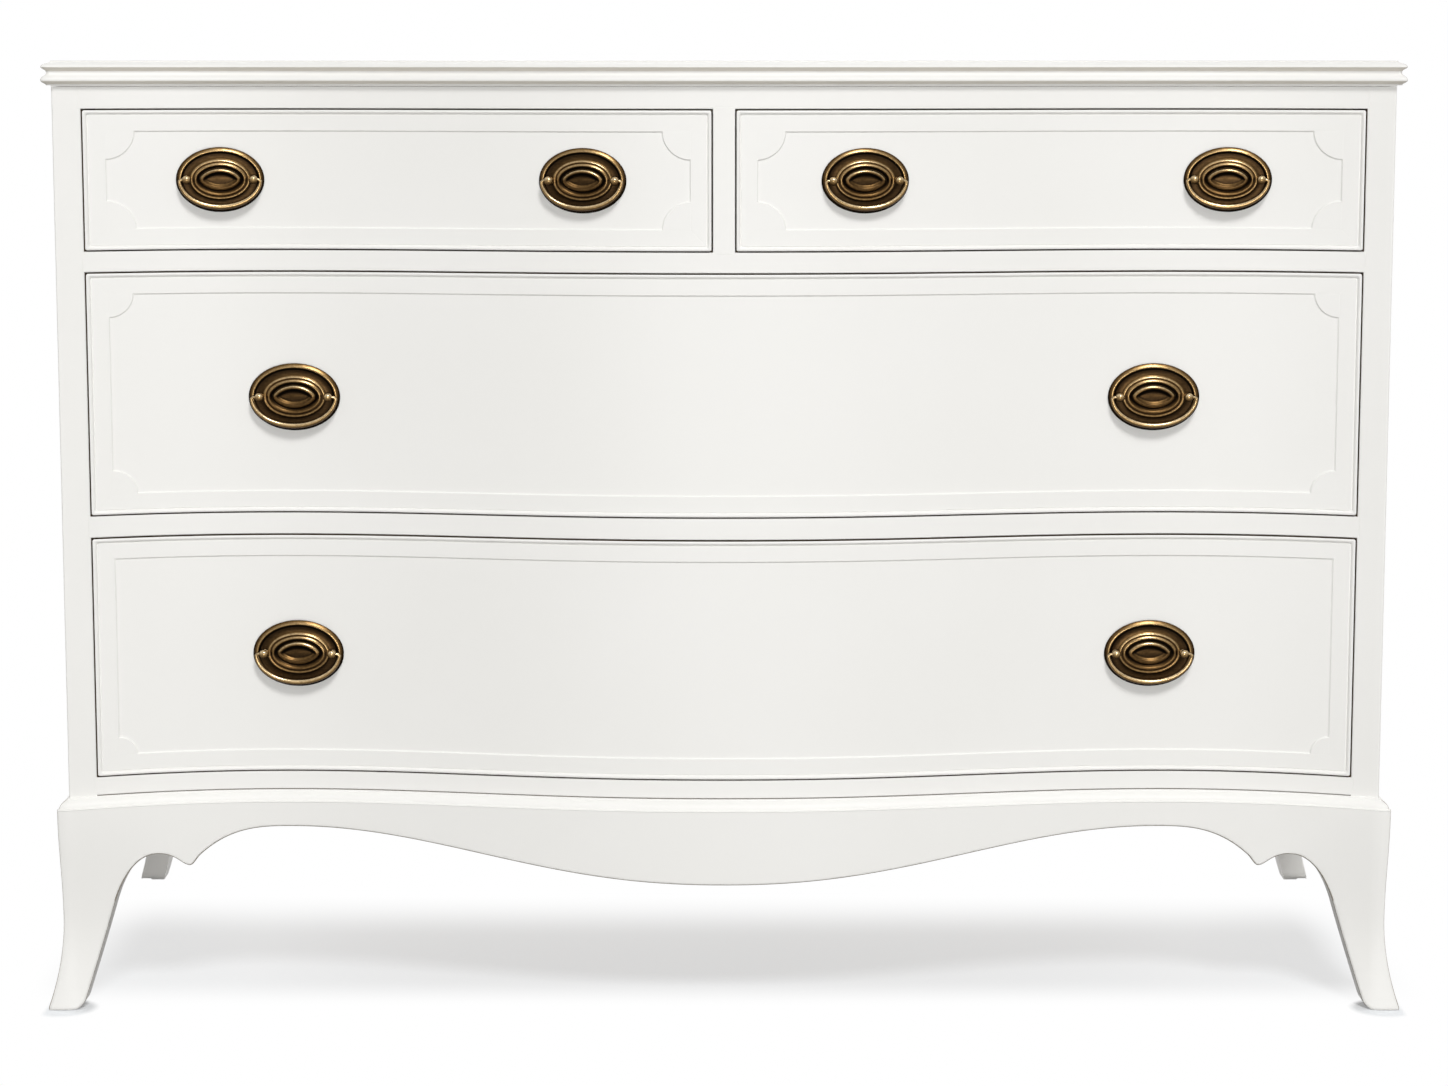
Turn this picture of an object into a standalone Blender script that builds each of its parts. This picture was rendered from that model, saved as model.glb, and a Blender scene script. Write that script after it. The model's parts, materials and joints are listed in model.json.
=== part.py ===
# Serpentine front dresser: two small drawers over two long ones, on splayed bracket feet.
# Units are metres. x runs left to right, the front faces -y and z is up.
# The origin is on the floor under the middle of the dresser.

import math

import bmesh
import bpy
from mathutils import Matrix, Vector

# Fits
SEAT = 0.0003             # left between pieces that touch
DRAWER_GAP = 0.0012       # around each drawer front in its opening
RUNNING_GAP = 0.0003      # under the drawer sides

# Case
CASE_WIDTH = 1.200        # outside of the sides
CASE_DEPTH = 0.510        # middle of the drawer fronts to the back edge
SIDE_THICK = 0.019
POST_WIDTH = 0.0245
BACK_THICK = 0.006
BACK_RABBET = 0.010       # how far the back is let into each side
MULLION_WIDTH = 0.020
BACK_RAIL_WIDTH = 0.060

# Serpentine plan of the whole front
HOLLOW_DEPTH = 0.0434     # the hollows, behind the middle
HOLLOW_FROM_SIDE = 0.198  # deepest point of a hollow, in from the side of the case
CORNER_BACK = 0.005       # the case corners, behind the middle
BELLY_EASE = 1.12         # above 1 the middle swell is flatter
COLUMNS_PER_HALF = 12     # flats along each half of a curved face
RAIL_MEAT = 0.040         # wood left behind the hollows in the front rails

# Heights, from the floor up
BASE_HEIGHT = 0.184
BOTTOM_RAIL = 0.0275
LOWER_OPENING = 0.2218
LOWER_DIVIDER = 0.0197
MIDDLE_OPENING = 0.2217
UPPER_DIVIDER = 0.0187
UPPER_OPENING = 0.1276
TOP_RAIL = 0.0197
TOP_THICK = 0.0227

# Top edge moulding, two beads with a groove between them
TOP_OVERHANG = 0.008
TOP_GROOVE = 0.0038       # depth of the groove
TOP_ARRIS = 0.0058        # how far the top and bottom edges stand back from the bead noses
TOP_SHOULDER = 0.0022     # the beads a little above and below their noses
TOP_GROOVE_LIP = 0.0010
TOP_LEVELS = (0.0, 0.10, 0.22, 0.34, 0.43, 0.57, 0.66, 0.80, 0.92, 1.0)    # shares of the thickness

# Base moulding
BASE_PROUD = 0.0095       # the base, outside the case
MOULDING_HEIGHT = 0.0103
MOULDING_LIP = 0.0005     # the moulding, outside the base
MOULDING_SECTION = ((1.0, 0.0), (1.0, 0.14), (0.91, 0.20), (0.84, 0.45), (0.56, 0.70), (0.26, 0.84),
                    (0.22, 1.0))    # shares of its reach and its height

# Base boards and feet
BOARD_THICK = 0.025
TAPER = 0.003             # the legs draw in by this above the splay
FOOT_SPLAY = 0.0142       # from the ankle out to the toe
TOE_WIDTH = 0.0205
REAR_TOE_WIDTH = 0.032
TOE_ROUND = (0.0020, 0.0055)

# Lower edge of the base boards: widths in from a corner, and depths below their top
ARCH_WIDTH = 0.2095
ARCH_DEPTH = 0.0227
SIDE_ARCH_DEPTH = 0.032
APRON_DEPTH = 0.0683      # lowest point of the apron
SPUR_WIDTH = 0.1157
SPUR_DEPTH = 0.0578
BRACKET_WIDTH = 0.0856
BRACKET_DEPTH = 0.0459
KNEE_WIDTH = 0.0491
KNEE_DEPTH = 0.0865
ANKLE_DEPTH = 0.101       # narrowest place of the legs
KNEE_PULL = (0.0059, 0.0245)   # handles that shape the curves between these points
PEAK_PULL = 0.0161
SPUR_PULL = (0.0092, 0.0048)
ARCH_STEPS = 10
COVE_STEPS = (0, 0.35, 0.55, 0.72, 0.86, 0.96)    # along the cove from an arch to its spur
HOOK_STEPS = 4            # from a spur to the bracket's peak
KNEE_STEPS = 5            # from the peak to the knee
LEG_STEPS = (0.1, 0.25, 0.42, 0.6, 0.8, 1.0, 1.3)    # rows up a leg, 1 at the ankle

# Blocks and brackets inside the base
BLOCK_SIZE = 0.024        # glue blocks in the front corners
BLOCK_HEIGHT = 0.046
BRACE_WIDTH = 0.105       # brackets behind the rear feet
BRACE_THICK = 0.019
BRACE_FOOT = 0.045        # bottom of the brackets above the floor

# Drawer boxes
FRONT_THICK = 0.022
DRAWER_SIDE = 0.012
DRAWER_BACK = 0.012
DRAWER_BOTTOM = 0.005
GROOVE_DEPTH = 0.006
GROOVE_HEIGHT = 0.012     # groove above the bottom edge of a side
HEADROOM = 0.008          # above the drawer sides
REAR_ROOM = 0.012         # behind a shut drawer
DOVETAIL_LAP = 0.006      # wood left in front of the dovetails
DOVETAIL_PIN = 0.004      # narrow end of a pin
DOVETAIL_HALF_PIN = 0.007
DOVETAIL_SLOPE = 1 / 7
DOVETAIL_PITCH = 0.036    # aimed at, from tail to tail
BEAD_WIDTH = 0.004        # bead around the edge of each front
BEAD_PROUD = 0.0015
PANEL_MARGIN = 0.0185     # edge of the front to the sunk panel
PANEL_SINK = 0.0008
SMALL_CORNER = 0.025      # radius of the hollow corners, small drawers
MIDDLE_CORNER = 0.021
LOWER_CORNER = 0.016
CORNER_STEPS = 5

# Frames between the drawers
FRAME_THICK = 0.018
GUIDE_HEIGHT = 0.016
GUIDE_WIDTH = 0.020       # strip between the two small drawers
FRAME_RAIL = 0.060        # solid border around the sunk dust panels
FRAME_FRONT = 0.030       # the border along the front rail
PANEL_THICK = 0.006

# Pulls: oval plates, each with a hanging bail between two ball posts
PULL_NAMES = ("small", "large")
PLATE_WIDTH = {"small": 0.0792, "large": 0.0836}
PLATE_HEIGHT = {"small": 0.0584, "large": 0.0614}
POST_SPACING = {"small": 0.0596, "large": 0.0626}
POST_REACH = 0.0068       # back of the plate to the middle of the balls
BALL_RADIUS = 0.0042
STEM_RADIUS = 0.0024
STEM_FOOT = 0.0005        # the stem starts this far inside the plate
BORE_RADIUS = 0.0019
PIN_RADIUS = 0.0014
PIN_INSET = 0.0007        # how far a pin passes the middle of its ball
WIRE_RADIUS = 0.0024      # bail at its lowest point
BAIL_INSET_X = 0.0034     # plate edge to the middle of the bail wire
BAIL_INSET_Z = 0.0048
ELBOW = 0.0016            # bend between a pin and the bail
BAIL_TURNS = (4, 16, 32, 50, 70)    # degrees below the balls, along the oval
PLATE_SIDES = 18
BALL_STEPS = 4
BALL_SIDES = 8
SMALL_PULL_FROM_POST = 0.120
SMALL_PULL_FROM_MULLION = 0.1165
LARGE_PULL_FROM_POST = 0.1835
MIDDLE_PULL_LOW = 0.0042  # the middle drawer's pulls sit this far under its centre

# Colours: base colour, roughness, metallic
WHITE_PAINT = ((0.84, 0.83, 0.80, 1), 0.42, 0.0)
POPLAR = ((0.62, 0.47, 0.30, 1), 0.60, 0.0)
PLYWOOD = ((0.55, 0.40, 0.25, 1), 0.70, 0.0)
OLD_BRASS = ((0.30, 0.20, 0.08, 1), 0.35, 1.0)

# Cutters run past what they cut by this
PAST = 0.010
# Places closer than this count as one
TINY = 0.0001
WELD = 0.000001
# Edges sharper than this stay crisp in the shading
SHARP_DEGREES = 35

# Derived places
CASE_HALF = CASE_WIDTH / 2
OPEN_HALF = CASE_HALF - POST_WIDTH
BASE_HALF = CASE_HALF + BASE_PROUD
INSIDE_HALF = CASE_HALF - SIDE_THICK
HOLLOW_X = CASE_HALF - HOLLOW_FROM_SIDE
ARCH_HEIGHT = BASE_HEIGHT - ARCH_DEPTH
SIDE_ARCH_HEIGHT = BASE_HEIGHT - SIDE_ARCH_DEPTH
APRON_HEIGHT = BASE_HEIGHT - APRON_DEPTH
SPUR_HEIGHT = BASE_HEIGHT - SPUR_DEPTH
BRACKET_HEIGHT = BASE_HEIGHT - BRACKET_DEPTH
KNEE_HEIGHT = BASE_HEIGHT - KNEE_DEPTH
ANKLE_HEIGHT = BASE_HEIGHT - ANKLE_DEPTH
COLUMNS = [OPEN_HALF * k / COLUMNS_PER_HALF for k in range(-COLUMNS_PER_HALF, COLUMNS_PER_HALF + 1)]
COLUMNS = [-CASE_HALF] + COLUMNS + [CASE_HALF]
LEG_ROWS = [ANKLE_HEIGHT * share for share in LEG_STEPS]

CASE_BOTTOM = BASE_HEIGHT + SEAT
LOWER_SILL = CASE_BOTTOM + BOTTOM_RAIL
LOWER_HEAD = LOWER_SILL + LOWER_OPENING
MIDDLE_SILL = LOWER_HEAD + LOWER_DIVIDER
MIDDLE_HEAD = MIDDLE_SILL + MIDDLE_OPENING
UPPER_SILL = MIDDLE_HEAD + UPPER_DIVIDER
UPPER_HEAD = UPPER_SILL + UPPER_OPENING
CASE_TOP = UPPER_HEAD + TOP_RAIL
TOP_UNDER = CASE_TOP + SEAT
TOP_HEIGHT = TOP_UNDER + TOP_THICK


# Serpentine line, as a distance behind the middle of the front
def ease(share):
    return (1 - math.cos(math.pi * share ** BELLY_EASE)) / 2


def set_back(x):
    a = abs(x)
    if a < HOLLOW_X:
        return HOLLOW_DEPTH * ease(a / HOLLOW_X)
    beyond = (a - HOLLOW_X) / HOLLOW_FROM_SIDE
    return HOLLOW_DEPTH - (HOLLOW_DEPTH - CORNER_BACK) * beyond ** 2


# Splay of the legs, outward from the base, at a height
def splay(z):
    if z >= BASE_HEIGHT:
        return 0.0
    if z > ANKLE_HEIGHT:
        share = (z - ANKLE_HEIGHT) / (BASE_HEIGHT - ANKLE_HEIGHT)
        return -TAPER * (1 + math.cos(math.pi * share)) / 2
    return -TAPER + FOOT_SPLAY * (1 - z / ANKLE_HEIGHT) ** 2


# 1 on the legs, falling to 0 where a bracket ends, by the distance in from a base corner
def leg_share(width):
    return min(max((SPUR_WIDTH - width) / (SPUR_WIDTH - KNEE_WIDTH), 0.0), 1.0)


# The front line is placed so that the dresser is centred front to back
TOE_REACH = BASE_PROUD + splay(0) - set_back(BASE_HALF + splay(0))
BELLY_REACH = BASE_PROUD + MOULDING_LIP
REACH = max(TOE_REACH, BELLY_REACH)
FRONT = (REACH - CASE_DEPTH) / 2
BACK = FRONT + CASE_DEPTH
RAIL_BACK = FRONT + HOLLOW_DEPTH + RAIL_MEAT
BACK_FACE = BACK - BACK_THICK


# Front line with a flat between each column and the next
def face_y(x):
    for a, b in zip(COLUMNS, COLUMNS[1:]):
        if a <= x <= b:
            share = (x - a) / (b - a)
            return FRONT + set_back(a) * (1 - share) + set_back(b) * share
    return FRONT + set_back(x)


def corner_y(z):
    return face_y(BASE_HALF + splay(z)) - BASE_PROUD - splay(z)


# Scene, collections and materials
for old in list(bpy.data.objects):
    bpy.data.objects.remove(old, do_unlink=True)

parts = bpy.data.collections.new("serpentine_dresser")
cutters = bpy.data.collections.new("cutters")
bpy.context.scene.collection.children.link(parts)
bpy.context.scene.collection.children.link(cutters)


def make_material(name, finish):
    colour, roughness, metallic = finish
    material = bpy.data.materials.new(name)
    material.use_nodes = True
    shader = material.node_tree.nodes["Principled BSDF"]
    shader.inputs["Base Color"].default_value = colour
    shader.inputs["Roughness"].default_value = roughness
    shader.inputs["Metallic"].default_value = metallic
    material.diffuse_color = colour
    return material


# Each piece has its own material, named for the piece
def add_piece(name, mesh, finish, parent=None):
    piece = bpy.data.objects.new(name, mesh)
    parts.objects.link(piece)
    if not mesh.materials:
        mesh.materials.append(make_material(name, finish))
    if parent:
        piece.parent = parent
    return piece


def add_cutter(name, mesh):
    tool = bpy.data.objects.new(name, mesh)
    cutters.objects.link(tool)
    tool.hide_render = True
    tool.display_type = "WIRE"
    return tool


def combine(piece, tool, operation="DIFFERENCE"):
    modifier = piece.modifiers.new(tool.name, "BOOLEAN")
    modifier.operation = operation
    modifier.solver = "EXACT"
    modifier.object = tool


# Smooth shading on the curved faces, with crisp corners
def shade(mesh):
    mesh.shade_smooth()
    mesh.set_sharp_from_angle(angle=math.radians(SHARP_DEGREES))
    return mesh


def settle(obj):
    bpy.context.view_layer.update()
    ready = obj.evaluated_get(bpy.context.evaluated_depsgraph_get())
    mesh = bpy.data.meshes.new_from_object(ready)
    mesh.transform(obj.matrix_world)
    bpy.data.objects.remove(obj, do_unlink=True)
    return mesh


def edit(mesh, change):
    bm = bmesh.new()
    bm.from_mesh(mesh)
    change(bm)
    bm.normal_update()
    bmesh.ops.recalc_face_normals(bm, faces=bm.faces)
    bm.to_mesh(mesh)
    bm.free()
    return mesh


# A flat outline one unit thick, filled on both sides, with whole end faces
def outline_mesh(points):
    curve = bpy.data.curves.new("outline", "CURVE")
    curve.dimensions = "2D"
    curve.fill_mode = "BOTH"
    curve.extrude = 0.5
    spline = curve.splines.new("POLY")
    spline.points.add(len(points) - 1)
    for point, (across, up) in zip(spline.points, points):
        point.co = (across, up, 0, 1)
    spline.use_cyclic_u = True
    flat = bpy.data.objects.new("outline", curve)
    bpy.context.scene.collection.objects.link(flat)
    mesh = settle(flat)

    def clean(bm):
        bmesh.ops.remove_doubles(bm, verts=bm.verts, dist=WELD)
        caps = [f for f in bm.faces if abs(f.normal.z) > 0.9]
        inner = [e for e in bm.edges if all(f in caps for f in e.link_faces)]
        bmesh.ops.dissolve_edges(bm, edges=inner, use_verts=False)

    return edit(mesh, clean)


def slice_mesh(bm, places, axis):
    normal = Vector((0, 0, 0))
    normal[axis] = 1
    low = min(v.co[axis] for v in bm.verts)
    high = max(v.co[axis] for v in bm.verts)
    for place in places:
        if low + TINY < place < high - TINY:
            geometry = bm.verts[:] + bm.edges[:] + bm.faces[:]
            bmesh.ops.bisect_plane(bm, geom=geometry, dist=WELD, plane_co=normal * place, plane_no=normal)


# A board whose outline is drawn in x and z, bent to follow a front and a back surface
def bent_board(points, front, back, rows=(), columns=None, ends=None):
    def bend(bm):
        slice_mesh(bm, COLUMNS if columns is None else columns, 0)
        slice_mesh(bm, rows, 1)
        for v in bm.verts:
            x, z = v.co.x, v.co.y
            near = v.co.z > 0
            if ends:
                x = ends(x, z, near)
            v.co = (x, front(x, z) if near else back(x, z), z)

    return shade(edit(outline_mesh(points), bend))


def rectangle(low, high):
    return [(low[0], low[1]), (high[0], low[1]), (high[0], high[1]), (low[0], high[1])]


def box_mesh(low, high):
    low, high = Vector(low), Vector(high)
    mesh = bpy.data.meshes.new("box")

    def build(bm):
        bmesh.ops.create_cube(bm, size=1)
        for v in bm.verts:
            v.co = [a + (c + 0.5) * (b - a) for a, b, c in zip(low, high, v.co)]

    return edit(mesh, build)


# Upright or lying boards with a plain outline
def plan_board(points, low, high):
    mesh = outline_mesh(points)
    mesh.transform(Matrix.Translation((0, 0, (low + high) / 2)) @ Matrix.Diagonal((1, 1, high - low, 1)))
    return mesh


def side_board(points, low, high):
    mesh = outline_mesh(points)
    turn = Matrix(((0, 0, high - low, (low + high) / 2), (1, 0, 0, 0), (0, 1, 0, 0), (0, 0, 0, 1)))
    mesh.transform(turn)
    return mesh


# Closed skin through a row of rings with the same number of points
def loft_mesh(rings):
    mesh = bpy.data.meshes.new("loft")

    def build(bm):
        rows = [[bm.verts.new(p) for p in ring] for ring in rings]
        count = len(rows[0])
        for a, b in zip(rows, rows[1:]):
            for i in range(count):
                j = (i + 1) % count
                bm.faces.new((a[i], a[j], b[j], b[i]))
        bm.faces.new(rows[0][::-1])
        bm.faces.new(rows[-1])

    return shade(edit(mesh, build))


def arc(centre, radius, start, end, steps):
    turns = [math.radians(start + (end - start) * i / steps) for i in range(steps + 1)]
    return [(centre[0] + radius * math.cos(a), centre[1] + radius * math.sin(a)) for a in turns]


def bezier(start, pull_a, pull_b, end, steps):
    points = []
    for i in range(1, steps + 1):
        t = i / steps
        weights = ((1 - t) ** 3, 3 * t * (1 - t) ** 2, 3 * t * t * (1 - t), t ** 3)
        ends = (start, pull_a, pull_b, end)
        points.append(tuple(sum(w * p[k] for w, p in zip(weights, ends)) for k in (0, 1)))
    return points


# Top board: serpentine front, straight back, moulded on the front and the sides
def top_profile():
    lower = (TOP_ARRIS, TOP_SHOULDER, 0.0, TOP_GROOVE_LIP, TOP_GROOVE)
    insets = lower + lower[::-1]
    return [(TOP_UNDER + TOP_THICK * share, TOP_OVERHANG - inset) for share, inset in zip(TOP_LEVELS, insets)]


def make_top():
    profile = top_profile()

    def out(z):
        return min(profile, key=lambda level: abs(level[0] - z))[1]

    def ends(x, z, near):
        if abs(x) > CASE_HALF + TINY:
            return math.copysign(CASE_HALF + out(z), x)
        return x

    span = CASE_HALF + TOP_OVERHANG
    outline = rectangle((-span, TOP_UNDER), (span, TOP_HEIGHT))
    mesh = bent_board(outline, lambda x, z: face_y(x) - out(z), lambda x, z: BACK,
                      rows=[z for z, _ in profile[1:-1]], ends=ends)
    add_piece("top_board", mesh, WHITE_PAINT)


# Case: posts, sides, rails, mullion and back
def make_rail(name, half, bottom, top):
    outline = rectangle((-half, bottom), (half, top))
    mesh = bent_board(outline, lambda x, z: face_y(x), lambda x, z: RAIL_BACK)
    add_piece(name, mesh, WHITE_PAINT)


def make_case():
    for side, name in ((-1, "left"), (1, "right")):
        inner, outer = sorted((side * OPEN_HALF, side * CASE_HALF))
        outline = rectangle((inner, CASE_BOTTOM), (outer, CASE_TOP))
        mesh = bent_board(outline, lambda x, z: face_y(x), lambda x, z: RAIL_BACK)
        add_piece("front_post_" + name, mesh, WHITE_PAINT)

        wall = side * INSIDE_HALF
        lip = side * (INSIDE_HALF + BACK_RABBET)
        skin = side * CASE_HALF
        start = RAIL_BACK + SEAT
        plan = [(wall, start), (skin, start), (skin, BACK), (lip, BACK), (lip, BACK_FACE), (wall, BACK_FACE)]
        add_piece("side_panel_" + name, plan_board(plan, CASE_BOTTOM, CASE_TOP), WHITE_PAINT)

    rail_half = OPEN_HALF - SEAT
    make_rail("bottom_rail", rail_half, CASE_BOTTOM, LOWER_SILL)
    make_rail("lower_divider_rail", rail_half, LOWER_HEAD, MIDDLE_SILL)
    make_rail("upper_divider_rail", rail_half, MIDDLE_HEAD, UPPER_SILL)
    make_rail("top_rail", rail_half, UPPER_HEAD, CASE_TOP)
    make_rail("centre_mullion", MULLION_WIDTH / 2, UPPER_SILL + SEAT, UPPER_HEAD - SEAT)

    back_half = INSIDE_HALF + BACK_RABBET - SEAT
    panel = box_mesh((-back_half, BACK_FACE + SEAT, CASE_BOTTOM), (back_half, BACK, CASE_TOP))
    add_piece("back_panel", panel, PLYWOOD)

    inside = INSIDE_HALF - SEAT
    rail_front = BACK_FACE - BACK_RAIL_WIDTH
    rail = box_mesh((-inside, rail_front, UPPER_HEAD), (inside, BACK_FACE, CASE_TOP))
    add_piece("top_back_rail", rail, POPLAR)


# Dust frames: runners, back rail and sunk panel, with a raised guide along each side
def make_frame(name, top):
    inside = INSIDE_HALF - SEAT
    bottom = top - FRAME_THICK
    guide = top + GUIDE_HEIGHT
    section = [(-inside, bottom), (inside, bottom), (inside, guide), (OPEN_HALF, guide), (OPEN_HALF, top),
               (-OPEN_HALF, top), (-OPEN_HALF, guide), (-inside, guide)]
    start, end = RAIL_BACK + SEAT, BACK_FACE
    mesh = bent_board(section, lambda x, z: start, lambda x, z: end, columns=())
    frame = add_piece(name, mesh, POPLAR)
    sink = (FRAME_THICK - PANEL_THICK) / 2
    reach = inside - FRAME_RAIL
    for label, low, high in (("above", top - sink, top + sink), ("below", bottom - sink, bottom + sink)):
        tray = box_mesh((-reach, start + FRAME_FRONT, low), (reach, end - FRAME_RAIL, high))
        combine(frame, add_cutter(name + "_panel_" + label, tray))


def make_frames():
    make_frame("upper_dust_frame", UPPER_SILL)
    make_frame("lower_dust_frame", MIDDLE_SILL)
    make_frame("bottom_dust_frame", LOWER_SILL)
    half = GUIDE_WIDTH / 2
    low = UPPER_SILL + SEAT
    guide = box_mesh((-half, RAIL_BACK + SEAT, low), (half, BACK_FACE, low + GUIDE_HEIGHT))
    add_piece("centre_guide", guide, POPLAR)


# Lower edge of a base board from its arch to the floor, as width in from the corner and height
def bracket_edge(arch_height, toe):
    drop = (ARCH_HEIGHT - SPUR_HEIGHT) / (ARCH_WIDTH - SPUR_WIDTH) ** 3
    run = ((arch_height - SPUR_HEIGHT) / drop) ** (1 / 3)
    points = []
    for share in COVE_STEPS:
        points.append((SPUR_WIDTH + run * (1 - share), arch_height - drop * (run * share) ** 3))
    spur = (SPUR_WIDTH, SPUR_HEIGHT)
    peak = (BRACKET_WIDTH, BRACKET_HEIGHT)
    knee = (KNEE_WIDTH, KNEE_HEIGHT)
    rise = (BRACKET_WIDTH + (SPUR_WIDTH - BRACKET_WIDTH) / 3, BRACKET_HEIGHT)
    fall = (BRACKET_WIDTH - PEAK_PULL, BRACKET_HEIGHT)
    points.append(spur)
    points += bezier(spur, (SPUR_WIDTH - SPUR_PULL[0], SPUR_HEIGHT + SPUR_PULL[1]), rise, peak, HOOK_STEPS)
    points += bezier(peak, fall, (KNEE_WIDTH + KNEE_PULL[0], KNEE_HEIGHT + KNEE_PULL[1]), knee, KNEE_STEPS)
    points += [(toe, TOE_ROUND[1]), (toe - TOE_ROUND[0], 0.0)]
    return points


def make_skirts():
    edge = bracket_edge(ARCH_HEIGHT, TOE_WIDTH)
    arch_x = BASE_HALF - ARCH_WIDTH
    swell = [arch_x * k / ARCH_STEPS for k in range(ARCH_STEPS)]
    half = [(x, APRON_HEIGHT + (ARCH_HEIGHT - APRON_HEIGHT) * ease(x / arch_x)) for x in swell]
    half += [(BASE_HALF - u, z) for u, z in edge]
    half += [(BASE_HALF, 0.0), (BASE_HALF, BASE_HEIGHT)]
    outline = half + [(-x, z) for x, z in reversed(half[1:])]

    def ends(x, z, near):
        if abs(x) > BASE_HALF - TINY:
            out = BASE_HALF + splay(z) - (0 if near else BOARD_THICK)
            return math.copysign(out, x)
        return x

    def outer(x, z):
        return face_y(x) - BASE_PROUD - splay(z) * leg_share(BASE_HALF - abs(x))

    def inner(x, z):
        if abs(x) > BASE_HALF + splay(z) - BOARD_THICK - TINY:
            return corner_y(z) + BOARD_THICK
        return outer(x, z) + BOARD_THICK

    mesh = bent_board(outline, outer, inner, rows=LEG_ROWS, columns=COLUMNS[1:-1], ends=ends)
    add_piece("front_skirt", mesh, WHITE_PAINT)
    for side, name in ((-1, "left"), (1, "right")):
        make_side_skirt(side, name)


def make_side_skirt(side, name):
    corner = corner_y(BASE_HEIGHT)
    front_edge = bracket_edge(SIDE_ARCH_HEIGHT, TOE_WIDTH)
    rear_edge = bracket_edge(SIDE_ARCH_HEIGHT, REAR_TOE_WIDTH)
    outline = [(corner, BASE_HEIGHT), (corner, 0.0)]
    outline += [(corner + u, z) for u, z in reversed(front_edge)]
    outline += [(BACK - u, z) for u, z in rear_edge]
    outline += [(BACK, 0.0), (BACK, BASE_HEIGHT)]

    blends = [corner + KNEE_WIDTH, corner + SPUR_WIDTH, BACK - SPUR_WIDTH, BACK - KNEE_WIDTH]

    def shape(bm):
        slice_mesh(bm, blends, 0)
        slice_mesh(bm, LEG_ROWS, 1)
        for v in bm.verts:
            y, z = v.co.x, v.co.y
            depth = 0 if v.co.z > 0 else BOARD_THICK
            out = splay(z) * leg_share(min(y - corner, BACK - y))
            if y < corner + TINY:
                y = corner_y(z) + depth + SEAT * math.sqrt(2)
            v.co = (side * (BASE_HALF + out - depth), y, z)

    add_piece("side_skirt_" + name, edit(outline_mesh(outline), shape), WHITE_PAINT)


# Moulding around the front and the sides, standing on the base boards
def make_base_moulding():
    reach = BASE_PROUD + MOULDING_LIP
    section = [(reach * out, CASE_BOTTOM + MOULDING_HEIGHT * up) for out, up in MOULDING_SECTION]
    section = [(SEAT, section[0][1])] + section + [(SEAT, section[-1][1])]
    rings = [[(-CASE_HALF - out, BACK, z) for out, z in section]]
    rings.append([(-CASE_HALF - out, face_y(CASE_HALF + out) - out, z) for out, z in section])
    for x in COLUMNS[1:-1]:
        rings.append([(x, face_y(x) - out, z) for out, z in section])
    rings.append([(CASE_HALF + out, face_y(CASE_HALF + out) - out, z) for out, z in section])
    rings.append([(CASE_HALF + out, BACK, z) for out, z in section])
    add_piece("base_moulding", loft_mesh(rings), WHITE_PAINT)


# Glue blocks behind the front corners and brackets behind the rear feet
def make_base_blocks():
    reach = BASE_HALF - TAPER - BOARD_THICK - SEAT
    drawn_in = -splay(BASE_HEIGHT - BLOCK_HEIGHT)
    clear = BOARD_THICK - BASE_PROUD + drawn_in + SEAT
    front = face_y(reach) + clear
    inner = reach - BLOCK_SIZE
    for side, name in ((-1, "left"), (1, "right")):
        plan = [(side * reach, front), (side * OPEN_HALF, face_y(OPEN_HALF) + clear),
                (side * inner, face_y(inner) + clear), (side * reach, front + BLOCK_SIZE)]
        block = plan_board(plan, BASE_HEIGHT - BLOCK_HEIGHT, BASE_HEIGHT)
        add_piece("corner_block_" + name, block, POPLAR)

        shape = [(reach, BRACE_FOOT), (reach, BASE_HEIGHT), (reach - BRACE_WIDTH, BASE_HEIGHT),
                 (reach - BRACE_WIDTH, SIDE_ARCH_HEIGHT), (reach - BRACE_THICK, BRACE_FOOT)]
        shape = [(side * x, z) for x, z in shape]
        brace = bent_board(shape, lambda x, z: BACK - BRACE_THICK, lambda x, z: BACK, columns=())
        add_piece("rear_bracket_" + name, brace, POPLAR)


# Drawers
def tail_edge(shoulder, tip, low, high, grow):
    count = max(2, round((high - low) / DOVETAIL_PITCH))
    pitch = (high - low - 2 * DOVETAIL_HALF_PIN + DOVETAIL_PIN) / count
    flare = (shoulder - tip) * DOVETAIL_SLOPE
    points = []
    for k in range(count):
        bottom = low + DOVETAIL_HALF_PIN + k * pitch
        top = bottom + pitch - DOVETAIL_PIN
        points += [(shoulder, bottom + flare - grow), (tip - grow, bottom - grow),
                   (tip - grow, top + grow), (shoulder, top - flare + grow)]
    return points


def panel_outline(x0, x1, z0, z1, corner, square_top):
    low, high = (x0 + PANEL_MARGIN, z0 + PANEL_MARGIN), (x1 - PANEL_MARGIN, z1 - PANEL_MARGIN)
    points = arc(low, corner, 90, 0, CORNER_STEPS)
    points += arc((high[0], low[1]), corner, 180, 90, CORNER_STEPS)
    if square_top:
        points += [high, (low[0], high[1])]
    else:
        points += arc(high, corner, 270, 180, CORNER_STEPS)
        points += arc((low[0], high[1]), corner, 0, -90, CORNER_STEPS)
    return points


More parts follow.
